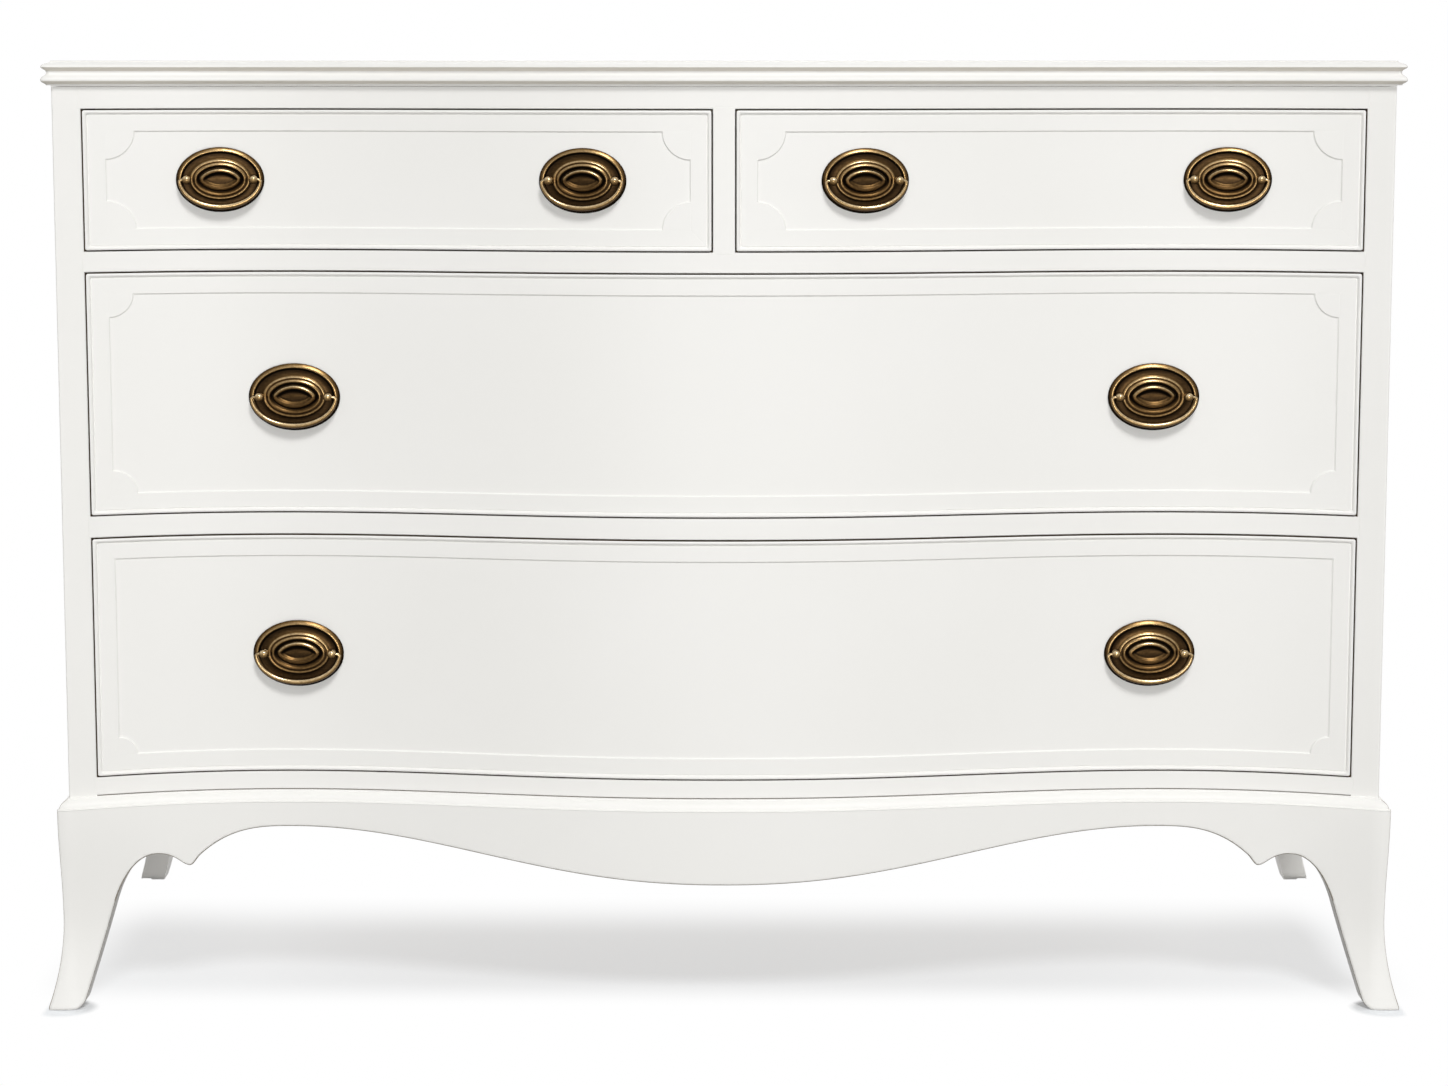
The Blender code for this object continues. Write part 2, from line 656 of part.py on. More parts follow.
def make_drawer(name, x0, x1, sill, head, corner, square_top):
    carrier = bpy.data.objects.new(name + "_slide", None)
    parts.objects.link(carrier)
    x0, x1 = x0 + DRAWER_GAP, x1 - DRAWER_GAP
    z0, z1 = sill + DRAWER_GAP, head - DRAWER_GAP
    left_in, right_in = x0 + DRAWER_SIDE, x1 - DRAWER_SIDE
    side_low, side_high = sill + RUNNING_GAP, head - HEADROOM
    end = BACK_FACE - REAR_ROOM
    groove_low = side_low + GROOVE_HEIGHT
    groove_high = groove_low + DRAWER_BOTTOM + 2 * SEAT

    def inside_y(x):
        return face_y(min(max(x, left_in), right_in)) + FRONT_THICK

    # Front, with its bead, sunk panel, dovetail sockets and groove
    front = bent_board(rectangle((x0, z0), (x1, z1)), lambda x, z: face_y(x) - BEAD_PROUD,
                       lambda x, z: inside_y(x), columns=COLUMNS + [left_in, right_in])
    front = add_piece(name + "_front", front, WHITE_PAINT, carrier)
    field = rectangle((x0 + BEAD_WIDTH, z0 + BEAD_WIDTH), (x1 - BEAD_WIDTH, z1 - BEAD_WIDTH))
    field = bent_board(field, lambda x, z: face_y(x) - PAST, lambda x, z: face_y(x))
    combine(front, add_cutter(name + "_field", field))
    panel = panel_outline(x0, x1, z0, z1, corner, square_top)
    panel = bent_board(panel, lambda x, z: face_y(x) - 2 * PAST, lambda x, z: face_y(x) + PANEL_SINK)
    combine(front, add_cutter(name + "_panel", panel))
    groove = rectangle((left_in - GROOVE_DEPTH, groove_low), (right_in + GROOVE_DEPTH, groove_high))
    groove = bent_board(groove, lambda x, z: inside_y(x) - GROOVE_DEPTH, lambda x, z: inside_y(x) + PAST,
                        columns=COLUMNS + [left_in, right_in])
    combine(front, add_cutter(name + "_front_groove", groove))

    # Sides with half-blind dovetails
    for label, outer, inner in (("left", x0, left_in), ("right", x1, right_in)):
        shoulder = inside_y(inner)
        tip = max(face_y(outer), face_y(inner)) + DOVETAIL_LAP
        outline = tail_edge(shoulder + SEAT, tip, side_low, side_high, 0)
        outline = [(shoulder + SEAT, side_low)] + outline + [(shoulder + SEAT, side_high)]
        outline += [(end, side_high), (end, side_low)]
        low, high = sorted((outer, inner))
        side = add_piece(name + "_side_" + label, side_board(outline, low, high), POPLAR, carrier)
        channel = sorted((inner + math.copysign(GROOVE_DEPTH, outer - inner), inner - (outer - inner)))
        tool = box_mesh((channel[0], FRONT, groove_low), (channel[1], BACK, groove_high))
        combine(side, add_cutter(name + "_groove_" + label, tool))

        root = shoulder + PAST / 2
        comb = tail_edge(root, tip, side_low, side_high, SEAT)
        comb = [(shoulder + PAST, side_low)] + comb + [(shoulder + PAST, side_high)]
        outward = math.copysign(1, outer - inner)
        low, high = sorted((outer + outward * PAST, inner - outward * SEAT))
        combine(front, add_cutter(name + "_sockets_" + label, side_board(comb, low, high)))

    # Bottom, held in the grooves and run under the back
    floor_left, floor_right = left_in - GROOVE_DEPTH + SEAT, right_in + GROOVE_DEPTH - SEAT
    floor = rectangle((floor_left, groove_low + SEAT), (floor_right, groove_high - SEAT))
    floor = bent_board(floor, lambda x, z: inside_y(x) - GROOVE_DEPTH + SEAT, lambda x, z: end,
                       columns=COLUMNS + [left_in, right_in])
    add_piece(name + "_bottom", floor, PLYWOOD, carrier)

    back = box_mesh((left_in + SEAT, end - DRAWER_BACK, groove_high), (right_in - SEAT, end, side_high))
    add_piece(name + "_back", back, POPLAR, carrier)
    return carrier


# Pull plate, from its edge in to its middle: distance in from the edge and height
PLATE_RELIEF = ((0.0, 0.0), (0.0, 0.0007), (0.0027, 0.0019), (0.0045, 0.0030), (0.0065, 0.0016),
                (0.0110, 0.0017), (0.0138, 0.0033), (0.0165, 0.0028), (0.0182, 0.0011),
                (0.0222, 0.0033), (0.0245, 0.0013))


def make_plate_mesh(kind):
    long, tall = PLATE_WIDTH[kind] / 2, PLATE_HEIGHT[kind] / 2
    rings = []
    for inset, height in PLATE_RELIEF:
        ring = []
        for k in range(PLATE_SIDES):
            a = 2 * math.pi * k / PLATE_SIDES
            ring.append(((long - inset) * math.cos(a), -height, (tall - inset) * math.sin(a)))
        rings.append(ring)
    plate = bpy.data.objects.new("plate", loft_mesh(rings))
    bpy.context.scene.collection.objects.link(plate)
    tools = []
    for side in (-1, 1):
        place = Matrix.Translation((side * POST_SPACING[kind] / 2, 0, 0))
        tools.append((make_ball_post(), place, "UNION"))
        tools.append((make_bore(side), place @ Matrix.Translation((0, -POST_REACH, 0)), "DIFFERENCE"))
    for number, (mesh, place, operation) in enumerate(tools):
        mesh.transform(place)
        tool = add_cutter("pull_tool_" + str(number), mesh)
        combine(plate, tool, operation)
    mesh = settle(plate)
    for tool in [o for o in cutters.objects if o.name.startswith("pull_tool")]:
        bpy.data.objects.remove(tool, do_unlink=True)
    mesh.name = "pull_plate_" + kind
    return shade(mesh)


# A stem with a ball, turned about the y axis
def make_ball_post():
    neck = math.asin(STEM_RADIUS / BALL_RADIUS)
    profile = [(0.0, POST_REACH + BALL_RADIUS)]
    for k in range(1, BALL_STEPS + 1):
        a = (math.pi - neck) * k / BALL_STEPS
        profile.append((BALL_RADIUS * math.sin(a), POST_REACH + BALL_RADIUS * math.cos(a)))
    profile += [(STEM_RADIUS, STEM_FOOT), (0.0, STEM_FOOT)]
    mesh = bpy.data.meshes.new("post")
    mesh.from_pydata([(r, 0, h) for r, h in profile], [(k, k + 1) for k in range(len(profile) - 1)], [])
    turned = bpy.data.objects.new("post", mesh)
    bpy.context.scene.collection.objects.link(turned)
    screw = turned.modifiers.new("turn", "SCREW")
    screw.steps = BALL_SIDES
    screw.render_steps = BALL_SIDES
    screw.use_merge_vertices = True
    screw.merge_threshold = WELD
    turned.rotation_euler = (math.radians(90), 0, 0)
    return settle(turned)


def make_bore(side):
    mesh = bpy.data.meshes.new("bore")

    def build(bm):
        bmesh.ops.create_cone(bm, cap_ends=True, segments=BALL_SIDES, radius1=BORE_RADIUS, radius2=BORE_RADIUS,
                              depth=PAST)

    edit(mesh, build)
    middle = side * (PAST / 2 - PIN_INSET - SEAT)
    mesh.transform(Matrix.Translation((middle, 0, 0)) @ Matrix.Rotation(math.pi / 2, 4, "Y"))
    return mesh


# Bail: a wire that swells towards the middle, with its ends turned in to the balls
def make_bail_mesh(kind):
    half = POST_SPACING[kind] / 2
    wide = PLATE_WIDTH[kind] / 2 - BAIL_INSET_X
    deep = PLATE_HEIGHT[kind] / 2 - BAIL_INSET_Z
    right = [(half - PIN_INSET, 0.0, PIN_RADIUS), (wide - ELBOW, 0.0, PIN_RADIUS)]
    for degrees in BAIL_TURNS:
        a = math.radians(degrees)
        radius = PIN_RADIUS + (WIRE_RADIUS - PIN_RADIUS) * math.sin(a)
        right.append((wide * math.cos(a), -deep * math.sin(a), radius))
    route = [(-x, z, r) for x, z, r in right] + [(0.0, -deep, WIRE_RADIUS)] + right[::-1]
    curve = bpy.data.curves.new("bail", "CURVE")
    curve.dimensions = "3D"
    curve.bevel_depth = 1.0
    curve.bevel_resolution = 2
    curve.use_fill_caps = True
    spline = curve.splines.new("POLY")
    spline.points.add(len(route) - 1)
    for point, (x, z, radius) in zip(spline.points, route):
        point.co = (x, 0, z, 1)
        point.radius = radius
    wire = bpy.data.objects.new("bail", curve)
    bpy.context.scene.collection.objects.link(wire)
    mesh = settle(wire)
    mesh = edit(mesh, lambda bm: bmesh.ops.remove_doubles(bm, verts=bm.verts, dist=WELD))
    mesh.name = "pull_bail_" + kind
    return shade(mesh)


# Where a flat plate rests on the curved face: its middle and its turn about z
def plate_seat(x, kind):
    reach = PLATE_WIDTH[kind] / 2
    slope = (face_y(x + reach) - face_y(x - reach)) / (2 * reach)
    stations = [x - reach, x + reach] + [c for c in COLUMNS if abs(c - x) < reach]
    forward = min(face_y(s) - slope * (s - x) for s in stations)
    return forward + PANEL_SINK - SEAT / math.cos(math.atan(slope)), math.atan(slope)


def make_pulls(places):
    plates = {kind: make_plate_mesh(kind) for kind in PULL_NAMES}
    bails = {kind: make_bail_mesh(kind) for kind in PULL_NAMES}
    for name, carrier, kind, x, z in places:
        y, turn = plate_seat(x, kind)
        place = Matrix.Translation((x, y, z)) @ Matrix.Rotation(turn, 4, "Z")
        plate = add_piece(name + "_plate", plates[kind], OLD_BRASS, carrier)
        plate.matrix_local = place
        bail = add_piece(name + "_bail", bails[kind], OLD_BRASS, carrier)
        bail.matrix_local = place @ Matrix.Translation((0, -POST_REACH, 0))
        origin = place @ Vector((0, -POST_REACH, 0))
        print("bail axis", name, [round(c, 5) for c in origin], "turn", round(math.degrees(turn), 3))


def make_drawers():
    inner = MULLION_WIDTH / 2
    left = make_drawer("small_drawer_left", -OPEN_HALF, -inner, UPPER_SILL, UPPER_HEAD, SMALL_CORNER, False)
    right = make_drawer("small_drawer_right", inner, OPEN_HALF, UPPER_SILL, UPPER_HEAD, SMALL_CORNER, False)
    middle = make_drawer("middle_drawer", -OPEN_HALF, OPEN_HALF, MIDDLE_SILL, MIDDLE_HEAD,
                         MIDDLE_CORNER, False)
    lower = make_drawer("lower_drawer", -OPEN_HALF, OPEN_HALF, LOWER_SILL, LOWER_HEAD, LOWER_CORNER, True)

    upper_z = (UPPER_SILL + UPPER_HEAD) / 2
    middle_z = (MIDDLE_SILL + MIDDLE_HEAD) / 2 - MIDDLE_PULL_LOW
    lower_z = (LOWER_SILL + LOWER_HEAD) / 2
    near = inner + SMALL_PULL_FROM_MULLION
    far = OPEN_HALF - SMALL_PULL_FROM_POST
    wide = OPEN_HALF - LARGE_PULL_FROM_POST
    places = [("small_left_outer_pull", left, "small", -far, upper_z),
              ("small_left_inner_pull", left, "small", -near, upper_z),
              ("small_right_inner_pull", right, "small", near, upper_z),
              ("small_right_outer_pull", right, "small", far, upper_z),
              ("middle_left_pull", middle, "large", -wide, middle_z),
              ("middle_right_pull", middle, "large", wide, middle_z),
              ("lower_left_pull", lower, "large", -wide, lower_z),
              ("lower_right_pull", lower, "large", wide, lower_z)]
    make_pulls(places)


make_top()
make_case()
make_frames()
make_skirts()
make_base_moulding()
make_base_blocks()
make_drawers()
print("front line", round(FRONT, 5), "back", round(BACK, 5), "height", round(TOP_HEIGHT, 5))
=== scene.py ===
import json
import math

import bmesh
import bpy
from mathutils import Matrix, Vector

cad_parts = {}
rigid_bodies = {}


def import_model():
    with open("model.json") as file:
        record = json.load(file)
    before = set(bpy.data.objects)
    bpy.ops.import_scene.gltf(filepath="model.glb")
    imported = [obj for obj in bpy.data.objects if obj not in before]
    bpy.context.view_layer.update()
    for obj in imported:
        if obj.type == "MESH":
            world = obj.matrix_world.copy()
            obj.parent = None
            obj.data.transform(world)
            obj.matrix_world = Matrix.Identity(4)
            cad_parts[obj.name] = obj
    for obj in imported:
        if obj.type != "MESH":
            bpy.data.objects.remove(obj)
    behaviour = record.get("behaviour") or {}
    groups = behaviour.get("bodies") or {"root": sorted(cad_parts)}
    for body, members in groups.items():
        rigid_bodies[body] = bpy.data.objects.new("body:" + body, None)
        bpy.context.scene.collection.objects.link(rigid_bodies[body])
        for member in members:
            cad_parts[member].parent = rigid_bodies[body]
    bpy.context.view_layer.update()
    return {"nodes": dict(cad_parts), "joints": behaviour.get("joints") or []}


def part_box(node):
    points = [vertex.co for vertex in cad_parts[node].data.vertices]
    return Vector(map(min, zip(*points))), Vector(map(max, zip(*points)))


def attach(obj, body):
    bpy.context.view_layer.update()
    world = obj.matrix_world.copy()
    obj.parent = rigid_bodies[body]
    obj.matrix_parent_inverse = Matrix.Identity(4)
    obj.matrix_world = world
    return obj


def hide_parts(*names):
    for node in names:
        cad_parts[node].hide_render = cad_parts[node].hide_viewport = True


# A serpentine front dresser in white lacquer with antique brass pulls, dressed over its packed
# model. Lengths are in metres, except where a name or a note says millimetres
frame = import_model()
print("frame loaded:", len(frame["nodes"]), "nodes")


# Least and greatest corner of a piece's box in the frame
def low(node):
    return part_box(node)[0]


def high(node):
    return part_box(node)[1]


frontLine = low("top_rail").y                # the middle of the front, where it swells most
backLine = high("side_panel_right").y
railBack = high("top_rail").y
caseHalf = high("side_panel_right").x
openHalf = low("front_post_right").x
baseTop = high("front_skirt").z
topHeight = high("top_board").z
seatGap = 0.0003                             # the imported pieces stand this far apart

# The serpentine line of the whole front
serpentine = {
    "hollowDepth": 0.0434,       # the hollows lie this far behind the middle
    "hollowFromSide": 0.198,     # deepest point of a hollow, in from the side
    "cornerBack": 0.005,         # the corners come forward to this
    "swellEase": 1.12,           # above 1 the middle swell is flatter
    "columnStep": 0.008,         # width of the strips that make the curve
}


def ease(share):
    return (1 - math.cos(math.pi * share ** serpentine["swellEase"])) / 2


# Place of the front at a distance from the middle. Past the sides it runs on straight
def frontY(x):
    a = min(abs(x), caseHalf)
    deep = serpentine["hollowDepth"]
    hollowX = caseHalf - serpentine["hollowFromSide"]
    if a < hollowX:
        return frontLine + deep * ease(a / hollowX)
    beyond = (a - hollowX) / serpentine["hollowFromSide"]
    return frontLine + deep - (deep - serpentine["cornerBack"]) * beyond ** 2


# Even steps of at most this size, both ends included
def steps(start, end, size):
    count = max(1, math.ceil(abs(end - start) / size))
    return [start + (end - start) * k / count for k in range(count + 1)]


def clamp(value, least=0.0, most=1.0):
    return max(least, min(most, value))


# 1 up to one value, 0 from the other on, and straight between them
def fall(value, full, none):
    return clamp((none - value) / (none - full))


def frontColumns():
    return steps(-caseHalf, caseHalf, serpentine["columnStep"])


# Colours are written as sRGB hex and turned to linear here
def colour(hexCode):
    channels = [int(hexCode[k:k + 2], 16) / 255 for k in (1, 3, 5)]
    linear = [c / 12.92 if c <= 0.04045 else ((c + 0.055) / 1.055) ** 2.4 for c in channels]
    return (*linear, 1.0)


# Fills a node's inputs, by name or number, with values or with links. A link comes from a socket,
# or from a node, whose first output is meant
def fillInputs(node, inputs):
    for spot, value in inputs.items():
        if isinstance(value, bpy.types.Node):
            value = value.outputs[0]
        if isinstance(value, bpy.types.NodeSocket):
            node.id_data.links.new(value, node.inputs[spot])
        else:
            node.inputs[spot].default_value = value


def addNode(tree, kind, settings=None, inputs=None):
    node = tree.nodes.new("ShaderNode" + kind)
    for name, value in (settings or {}).items():
        setattr(node, name, value)
    fillInputs(node, inputs or {})
    return node


def newMaterial(name, viewColour):
    material = bpy.data.materials.new(name)
    material.use_nodes = True
    material.diffuse_color = colour(viewColour)
    tree = material.node_tree
    return material, tree, tree.nodes["Principled BSDF"]


# Satin lacquer sprayed over poplar: a closed, even film with a faint orange peel, and the grain
# underneath just felt as a ripple along the boards. Peel and ripple are as coarse as the render
# can show, the real ones are finer
lacquer = {
    "colour": "#F3F2EF",
    "shade": "#EFEEEA",
    "edgeColour": "#A59C8F",    # a fine line of painted shade along the outer edges
    "edgeShade": "#968D80",
    "hollowColour": "#DCD7CE",  # and painted shade in the hollows under the top's beads
    "hollowShade": "#D6D1C7",
    "roughness": (0.41, 0.50),  # in the glossiest and the dullest clouds
    "shine": 0.28,              # a little under the usual reflection of a clear coat
    "cloudMillimetres": 180.0,
    "peelMillimetres": 1.6,
    "peelHeight": 0.00002,
    "rippleMillimetres": 3.0,
    "rippleHeight": 0.00003,
    "bumpStrength": 0.5,
}
alongBoard = 0.03               # a ripple is this much narrower than it is long


def makeLacquer(name, stretch, light=lacquer["colour"], dark=lacquer["shade"]):
    material, tree, shader = newMaterial(name, light)
    here = addNode(tree, "TexCoord").outputs["Object"]
    cloud = addNode(tree, "TexNoise", {}, {
        "Vector": here, "Scale": 1000 / lacquer["cloudMillimetres"], "Detail": 2.0})
    # a Mix node has sockets for each data type: 6 and 7 are the colours that go in, 2 comes out
    tone = addNode(tree, "Mix", {"data_type": "RGBA"},
                   {"Factor": cloud, 6: colour(dark), 7: colour(light)})
    gloss = addNode(tree, "MapRange", {}, {
        "Value": cloud, "To Min": lacquer["roughness"][0], "To Max": lacquer["roughness"][1]})
    peel = addNode(tree, "TexNoise", {}, {
        "Vector": here, "Scale": 1000 / lacquer["peelMillimetres"], "Detail": 1.0})
    peelBump = addNode(tree, "Bump", {}, {
        "Height": peel, "Distance": lacquer["peelHeight"],
        "Strength": lacquer["bumpStrength"]})
    stretched = addNode(tree, "Mapping", {}, {"Vector": here, "Scale": stretch})
    ripple = addNode(tree, "TexNoise", {}, {
        "Vector": stretched, "Scale": 1000 / lacquer["rippleMillimetres"]})
    rippleBump = addNode(tree, "Bump", {}, {
        "Height": ripple, "Distance": lacquer["rippleHeight"],
        "Strength": lacquer["bumpStrength"], "Normal": peelBump})
    fillInputs(shader, {
        "Base Color": tone.outputs[2], "Roughness": gloss,
        "Specular IOR Level": lacquer["shine"], "Normal": rippleBump})
    return material


# Bare poplar: pale tan with darker straight grain, sanded but not sealed
poplar = {
    "light": "#D9C3A0",
    "dark": "#B8996C",
    "roughness": 0.62,
    "grainMillimetres": 4.0,
    "streakLength": 30.0,       # grain runs this many times further along than across
    "poreMillimetres": 0.5,     # coarser than the real tenth of a millimetre, so that they show
}

# The bare wood in the narrow gaps around the drawers, darkened as painted shade for the gaps
gapShadePoplar = {**poplar, "light": "#6E563C", "dark": "#4B3825", "roughness": 0.75}

# Plywood with a peeled birch face: paler and calmer than the poplar, in wider streaks. They are
# coarser than real ones, so that they show from as far as the back is seen
plywood = {
    "light": "#DCC7A3",
    "dark": "#C7AC82",
    "roughness": 0.58,
    "grainMillimetres": 9.0,
    "streakLength": 14.0,
    "poreMillimetres": 0.8,
}

# What the three woods share
woodPattern = {
    "wander": 0.6,              # how much the grain strays from straight
    "bandTimes": 4,             # the broad bands are this many times wider than the grain
    "grainShare": 0.6,          # weight of the grain beside the bands
    "darkUpTo": 0.55,
    "lightFrom": 0.95,
    "poreDepth": 0.0001,
    "bumpStrength": 0.5,
}


def makeWood(name, along, look):
    material, tree, shader = newMaterial(name, look["light"])
    here = addNode(tree, "TexCoord").outputs["Object"]
    squeeze = [1 / look["streakLength"] if axis == along else 1.0 for axis in "xyz"]
    board = addNode(tree, "Mapping", {}, {"Vector": here, "Scale": squeeze})
    grainScale = 1000 / look["grainMillimetres"]
    grain = addNode(tree, "TexNoise", {}, {
        "Vector": board, "Scale": grainScale, "Detail": 4.0, "Distortion": woodPattern["wander"]})
    bands = addNode(tree, "TexNoise", {}, {
        "Vector": board, "Scale": grainScale / woodPattern["bandTimes"]})
    both = addNode(tree, "Math", {"operation": "MULTIPLY_ADD"}, {
        0: grain, 1: woodPattern["grainShare"], 2: bands})
    tints = addNode(tree, "ValToRGB", {}, {"Fac": both})
    for element, spot, tint in zip(tints.color_ramp.elements,
                                   (woodPattern["darkUpTo"], woodPattern["lightFrom"]),
                                   (look["dark"], look["light"])):
        element.position = spot
        element.color = colour(tint)
    pores = addNode(tree, "TexNoise", {}, {
        "Vector": board, "Scale": 1000 / look["poreMillimetres"]})
    bump = addNode(tree, "Bump", {}, {
        "Height": pores, "Distance": woodPattern["poreDepth"],
        "Strength": woodPattern["bumpStrength"]})
    fillInputs(shader, {"Base Color": tints, "Roughness": look["roughness"],
                        "Normal": bump})
    return material


# Antique brass, cast and darkened with a patina, then rubbed back: bright on the ridges, brown in
# the dished field, near black in the grooves, with fine strokes of the brush. What faces up is made
# lighter and what faces down darker, as painted light and shade
brass = {
    # share rubbed bare, with painted light and shade added by how a face tilts, and the colour
    # there
    "wear": [(0.0, "#080604"), (0.22, "#2A1E11"), (0.50, "#60482A"), (0.75, "#9C8056"),
             (1.0, "#DCC39A")],
    "viewColour": "#9C8056",
    "darkRoughness": 0.40,
    "bareRoughness": 0.22,
    "strokeMillimetres": 0.7,   # coarser than a real brush's, so that the strokes show
    "strokeLength": 9.0,        # a stroke is this many times longer than wide
    "strokeRange": (0.35, 0.65),
    "strokeDarkening": 0.30,
    "strokeDepth": 0.00002,
    "bumpStrength": 0.35,
    "spotMillimetres": 2.4,
    "spotRange": (0.35, 0.62),
    "spotDarkening": 0.25,
}


def makeBrass(name):
    material, tree, shader = newMaterial(name, brass["viewColour"])
    here = addNode(tree, "TexCoord").outputs["Object"]
    # the share of bare metal, with painted light and shade added by tilt, picks the colour
    wear = addNode(tree, "Attribute", {"attribute_name": "wear"}).outputs["Fac"]
    tints = addNode(tree, "ValToRGB", {}, {"Fac": wear})
    elements = tints.color_ramp.elements
    while len(elements) < len(brass["wear"]):
        elements.new(0.5)
    for element, (share, tint) in zip(elements, brass["wear"]):
        element.position = share
        element.color = colour(tint)
    spots = addNode(tree, "TexNoise", {}, {
        "Vector": here, "Scale": 1000 / brass["spotMillimetres"], "Detail": 3.0})
    long = addNode(tree, "Mapping", {}, {
        "Vector": here, "Scale": (1 / brass["strokeLength"], 1, 1)})
    strokes = addNode(tree, "TexNoise", {}, {
        "Vector": long, "Scale": 1000 / brass["strokeMillimetres"],
        "Detail": 2.0})
    shades = []
    for noise, span, darkening in ((spots, brass["spotRange"], brass["spotDarkening"]),
                                   (strokes, brass["strokeRange"], brass["strokeDarkening"])):
        shade = addNode(tree, "MapRange", {}, {
            "Value": noise, "From Min": span[0], "From Max": span[1],
            "To Min": 1 - darkening, "To Max": 1.0})
        shades.append(shade)
    both = addNode(tree, "Math", {"operation": "MULTIPLY"}, {0: shades[0], 1: shades[1]})
    toned = addNode(tree, "VectorMath", {"operation": "SCALE"}, {
        0: tints, "Scale": both})
    gloss = addNode(tree, "MapRange", {}, {
        "Value": wear, "To Min": brass["darkRoughness"], "To Max": brass["bareRoughness"]})
    bump = addNode(tree, "Bump", {}, {
        "Height": strokes, "Distance": brass["strokeDepth"],
        "Strength": brass["bumpStrength"]})
    fillInputs(shader, {
        "Base Color": toned, "Metallic": 1.0,
        "Roughness": gloss, "Normal": bump})
    return material


lacquerLevel = makeLacquer("satinLacquerLevelGrain", (alongBoard, 1, 1))
lacquerUpright = makeLacquer("satinLacquerUprightGrain", (1, 1, alongBoard))
# painted shade: a darker lacquer for the hollows under the top's beads, which face down
lacquerHollowShade = makeLacquer("agedLacquerInHollows", (alongBoard, 1, 1),
                            lacquer["hollowColour"], lacquer["hollowShade"])
# painted shade: a darker lacquer for the outer edges
lacquerEdgeShade = makeLacquer("agedLacquerOuterEdge", (1, 1, 1),
                          lacquer["edgeColour"], lacquer["edgeShade"])
poplarWide = makeWood("barePoplarGrainSideways", "x", poplar)
poplarDeep = makeWood("barePoplarGrainFrontToBack", "y", poplar)
poplarTall = makeWood("barePoplarGrainUpright", "z", poplar)
# bare poplar darkened as painted shade, for the gaps around the drawers
gapShadeWide = makeWood("agedPoplarGrainSideways", "x", gapShadePoplar)
gapShadeTall = makeWood("agedPoplarGrainUpright", "z", gapShadePoplar)
birchWide = makeWood("birchPlywoodGrainSideways", "x", plywood)
oldBrass = makeBrass("antiqueBrassRubbedBack")
print("materials made")

# Limits used by the mesh helpers
nearEnd = 0.0003                # a cut closer to a mesh's end than this is left out
weldReach = 0.00001
farBack = 1.0                   # depth that stands for the back of a piece until it is bent


def newObject(name, mesh):
    obj = bpy.data.objects.new(name, mesh)
    bpy.context.scene.collection.objects.link(obj)
    return obj


def meshFrom(name, build):
    mesh = bpy.data.meshes.new(name)
    bm = bmesh.new()
    build(bm)
    bm.normal_update()
    bmesh.ops.recalc_face_normals(bm, faces=bm.faces)
    bm.to_mesh(mesh)
    bm.free()
    return mesh


# Applies an object's modifiers and keeps only the mesh
def settle(obj):
    bpy.context.view_layer.update()
    ready = obj.evaluated_get(bpy.context.evaluated_depsgraph_get())
    mesh = bpy.data.meshes.new_from_object(ready)
    bpy.data.objects.remove(obj, do_unlink=True)
    return mesh


# Cuts tools out of an object and keeps only the mesh
def settleCut(obj, tools):
    for tool in tools:
        cut = obj.modifiers.new("cut", "BOOLEAN")
        cut.operation = "DIFFERENCE"
        cut.solver = "EXACT"
        cut.object = tool
    mesh = settle(obj)
    for tool in tools:
        bpy.data.objects.remove(tool, do_unlink=True)
    return mesh


# Smooth shading that keeps large faces flat beside small rounded edges
def smooth(obj, sharpDegrees):
    obj.data.shade_smooth()
    obj.data.set_sharp_from_angle(angle=math.radians(sharpDegrees))
    weighted = obj.modifiers.new("even shading", "WEIGHTED_NORMAL")
    weighted.keep_sharp = True
    weighted.weight = 80                     # large faces count for more than small ones


def place(obj, body, replaced):
    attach(obj, body)
    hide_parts(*replaced)


# Gives a mesh its materials. A rule, where there is one, picks the number of each face's material
def setMaterials(mesh, materials, choose=None):
    # clearing an empty list would set the numbers on the faces back to 0
    if len(mesh.materials):
        mesh.materials.clear()
    for material in materials:
        mesh.materials.append(material)
    if choose:
        for polygon in mesh.polygons:
            polygon.material_index = choose(polygon)


# Makes a painted piece of the case or of a drawer front from a function that builds its mesh
def makePainted(name, body, replaced, build, sharpDegrees, materials, choose=None):
    piece = newObject(name, meshFrom(name, build))
    setMaterials(piece.data, materials, choose)
    smooth(piece, sharpDegrees)
    place(piece, body, replaced)


# Cuts the whole mesh along planes square to an axis
def cutAt(bm, places, axis):
    normal = Vector((0, 0, 0))
    normal[axis] = 1
    least = min(v.co[axis] for v in bm.verts)
    most = max(v.co[axis] for v in bm.verts)
    for spot in places:
        if least + nearEnd < spot < most - nearEnd:
            everything = bm.verts[:] + bm.edges[:] + bm.faces[:]
            bmesh.ops.bisect_plane(bm, geom=everything, dist=1e-6, plane_co=normal * spot,
                                   plane_no=normal)


# Moves the corners of a closed outline inwards. The outline runs anticlockwise
def insetOutline(points, inset):
    moved = []
    for k, point in enumerate(points):
        here = Vector(point)
        before = (here - Vector(points[k - 1])).normalized()
        after = (Vector(points[(k + 1) % len(points)]) - here).normalized()
        a = Vector((-before.y, before.x))
        b = Vector((-after.y, after.x))
        reach = inset(point) if callable(inset) else inset
        # sharp corners would run far out, so their reach is held to four times the inset
        moved.append(tuple(here + (a + b) * (reach / max(0.25, 1 + a.dot(b)))))
    return moved


def rectangle(x0, x1, z0, z1):
    return [(x0, z0), (x1, z0), (x1, z1), (x0, z1)]


def arc(centre, radius, start, end, count):
    turns = [math.radians(start + (end - start) * k / count) for k in range(count + 1)]
    return [(centre[0] + radius * math.cos(a), centre[1] + radius * math.sin(a)) for a in turns]


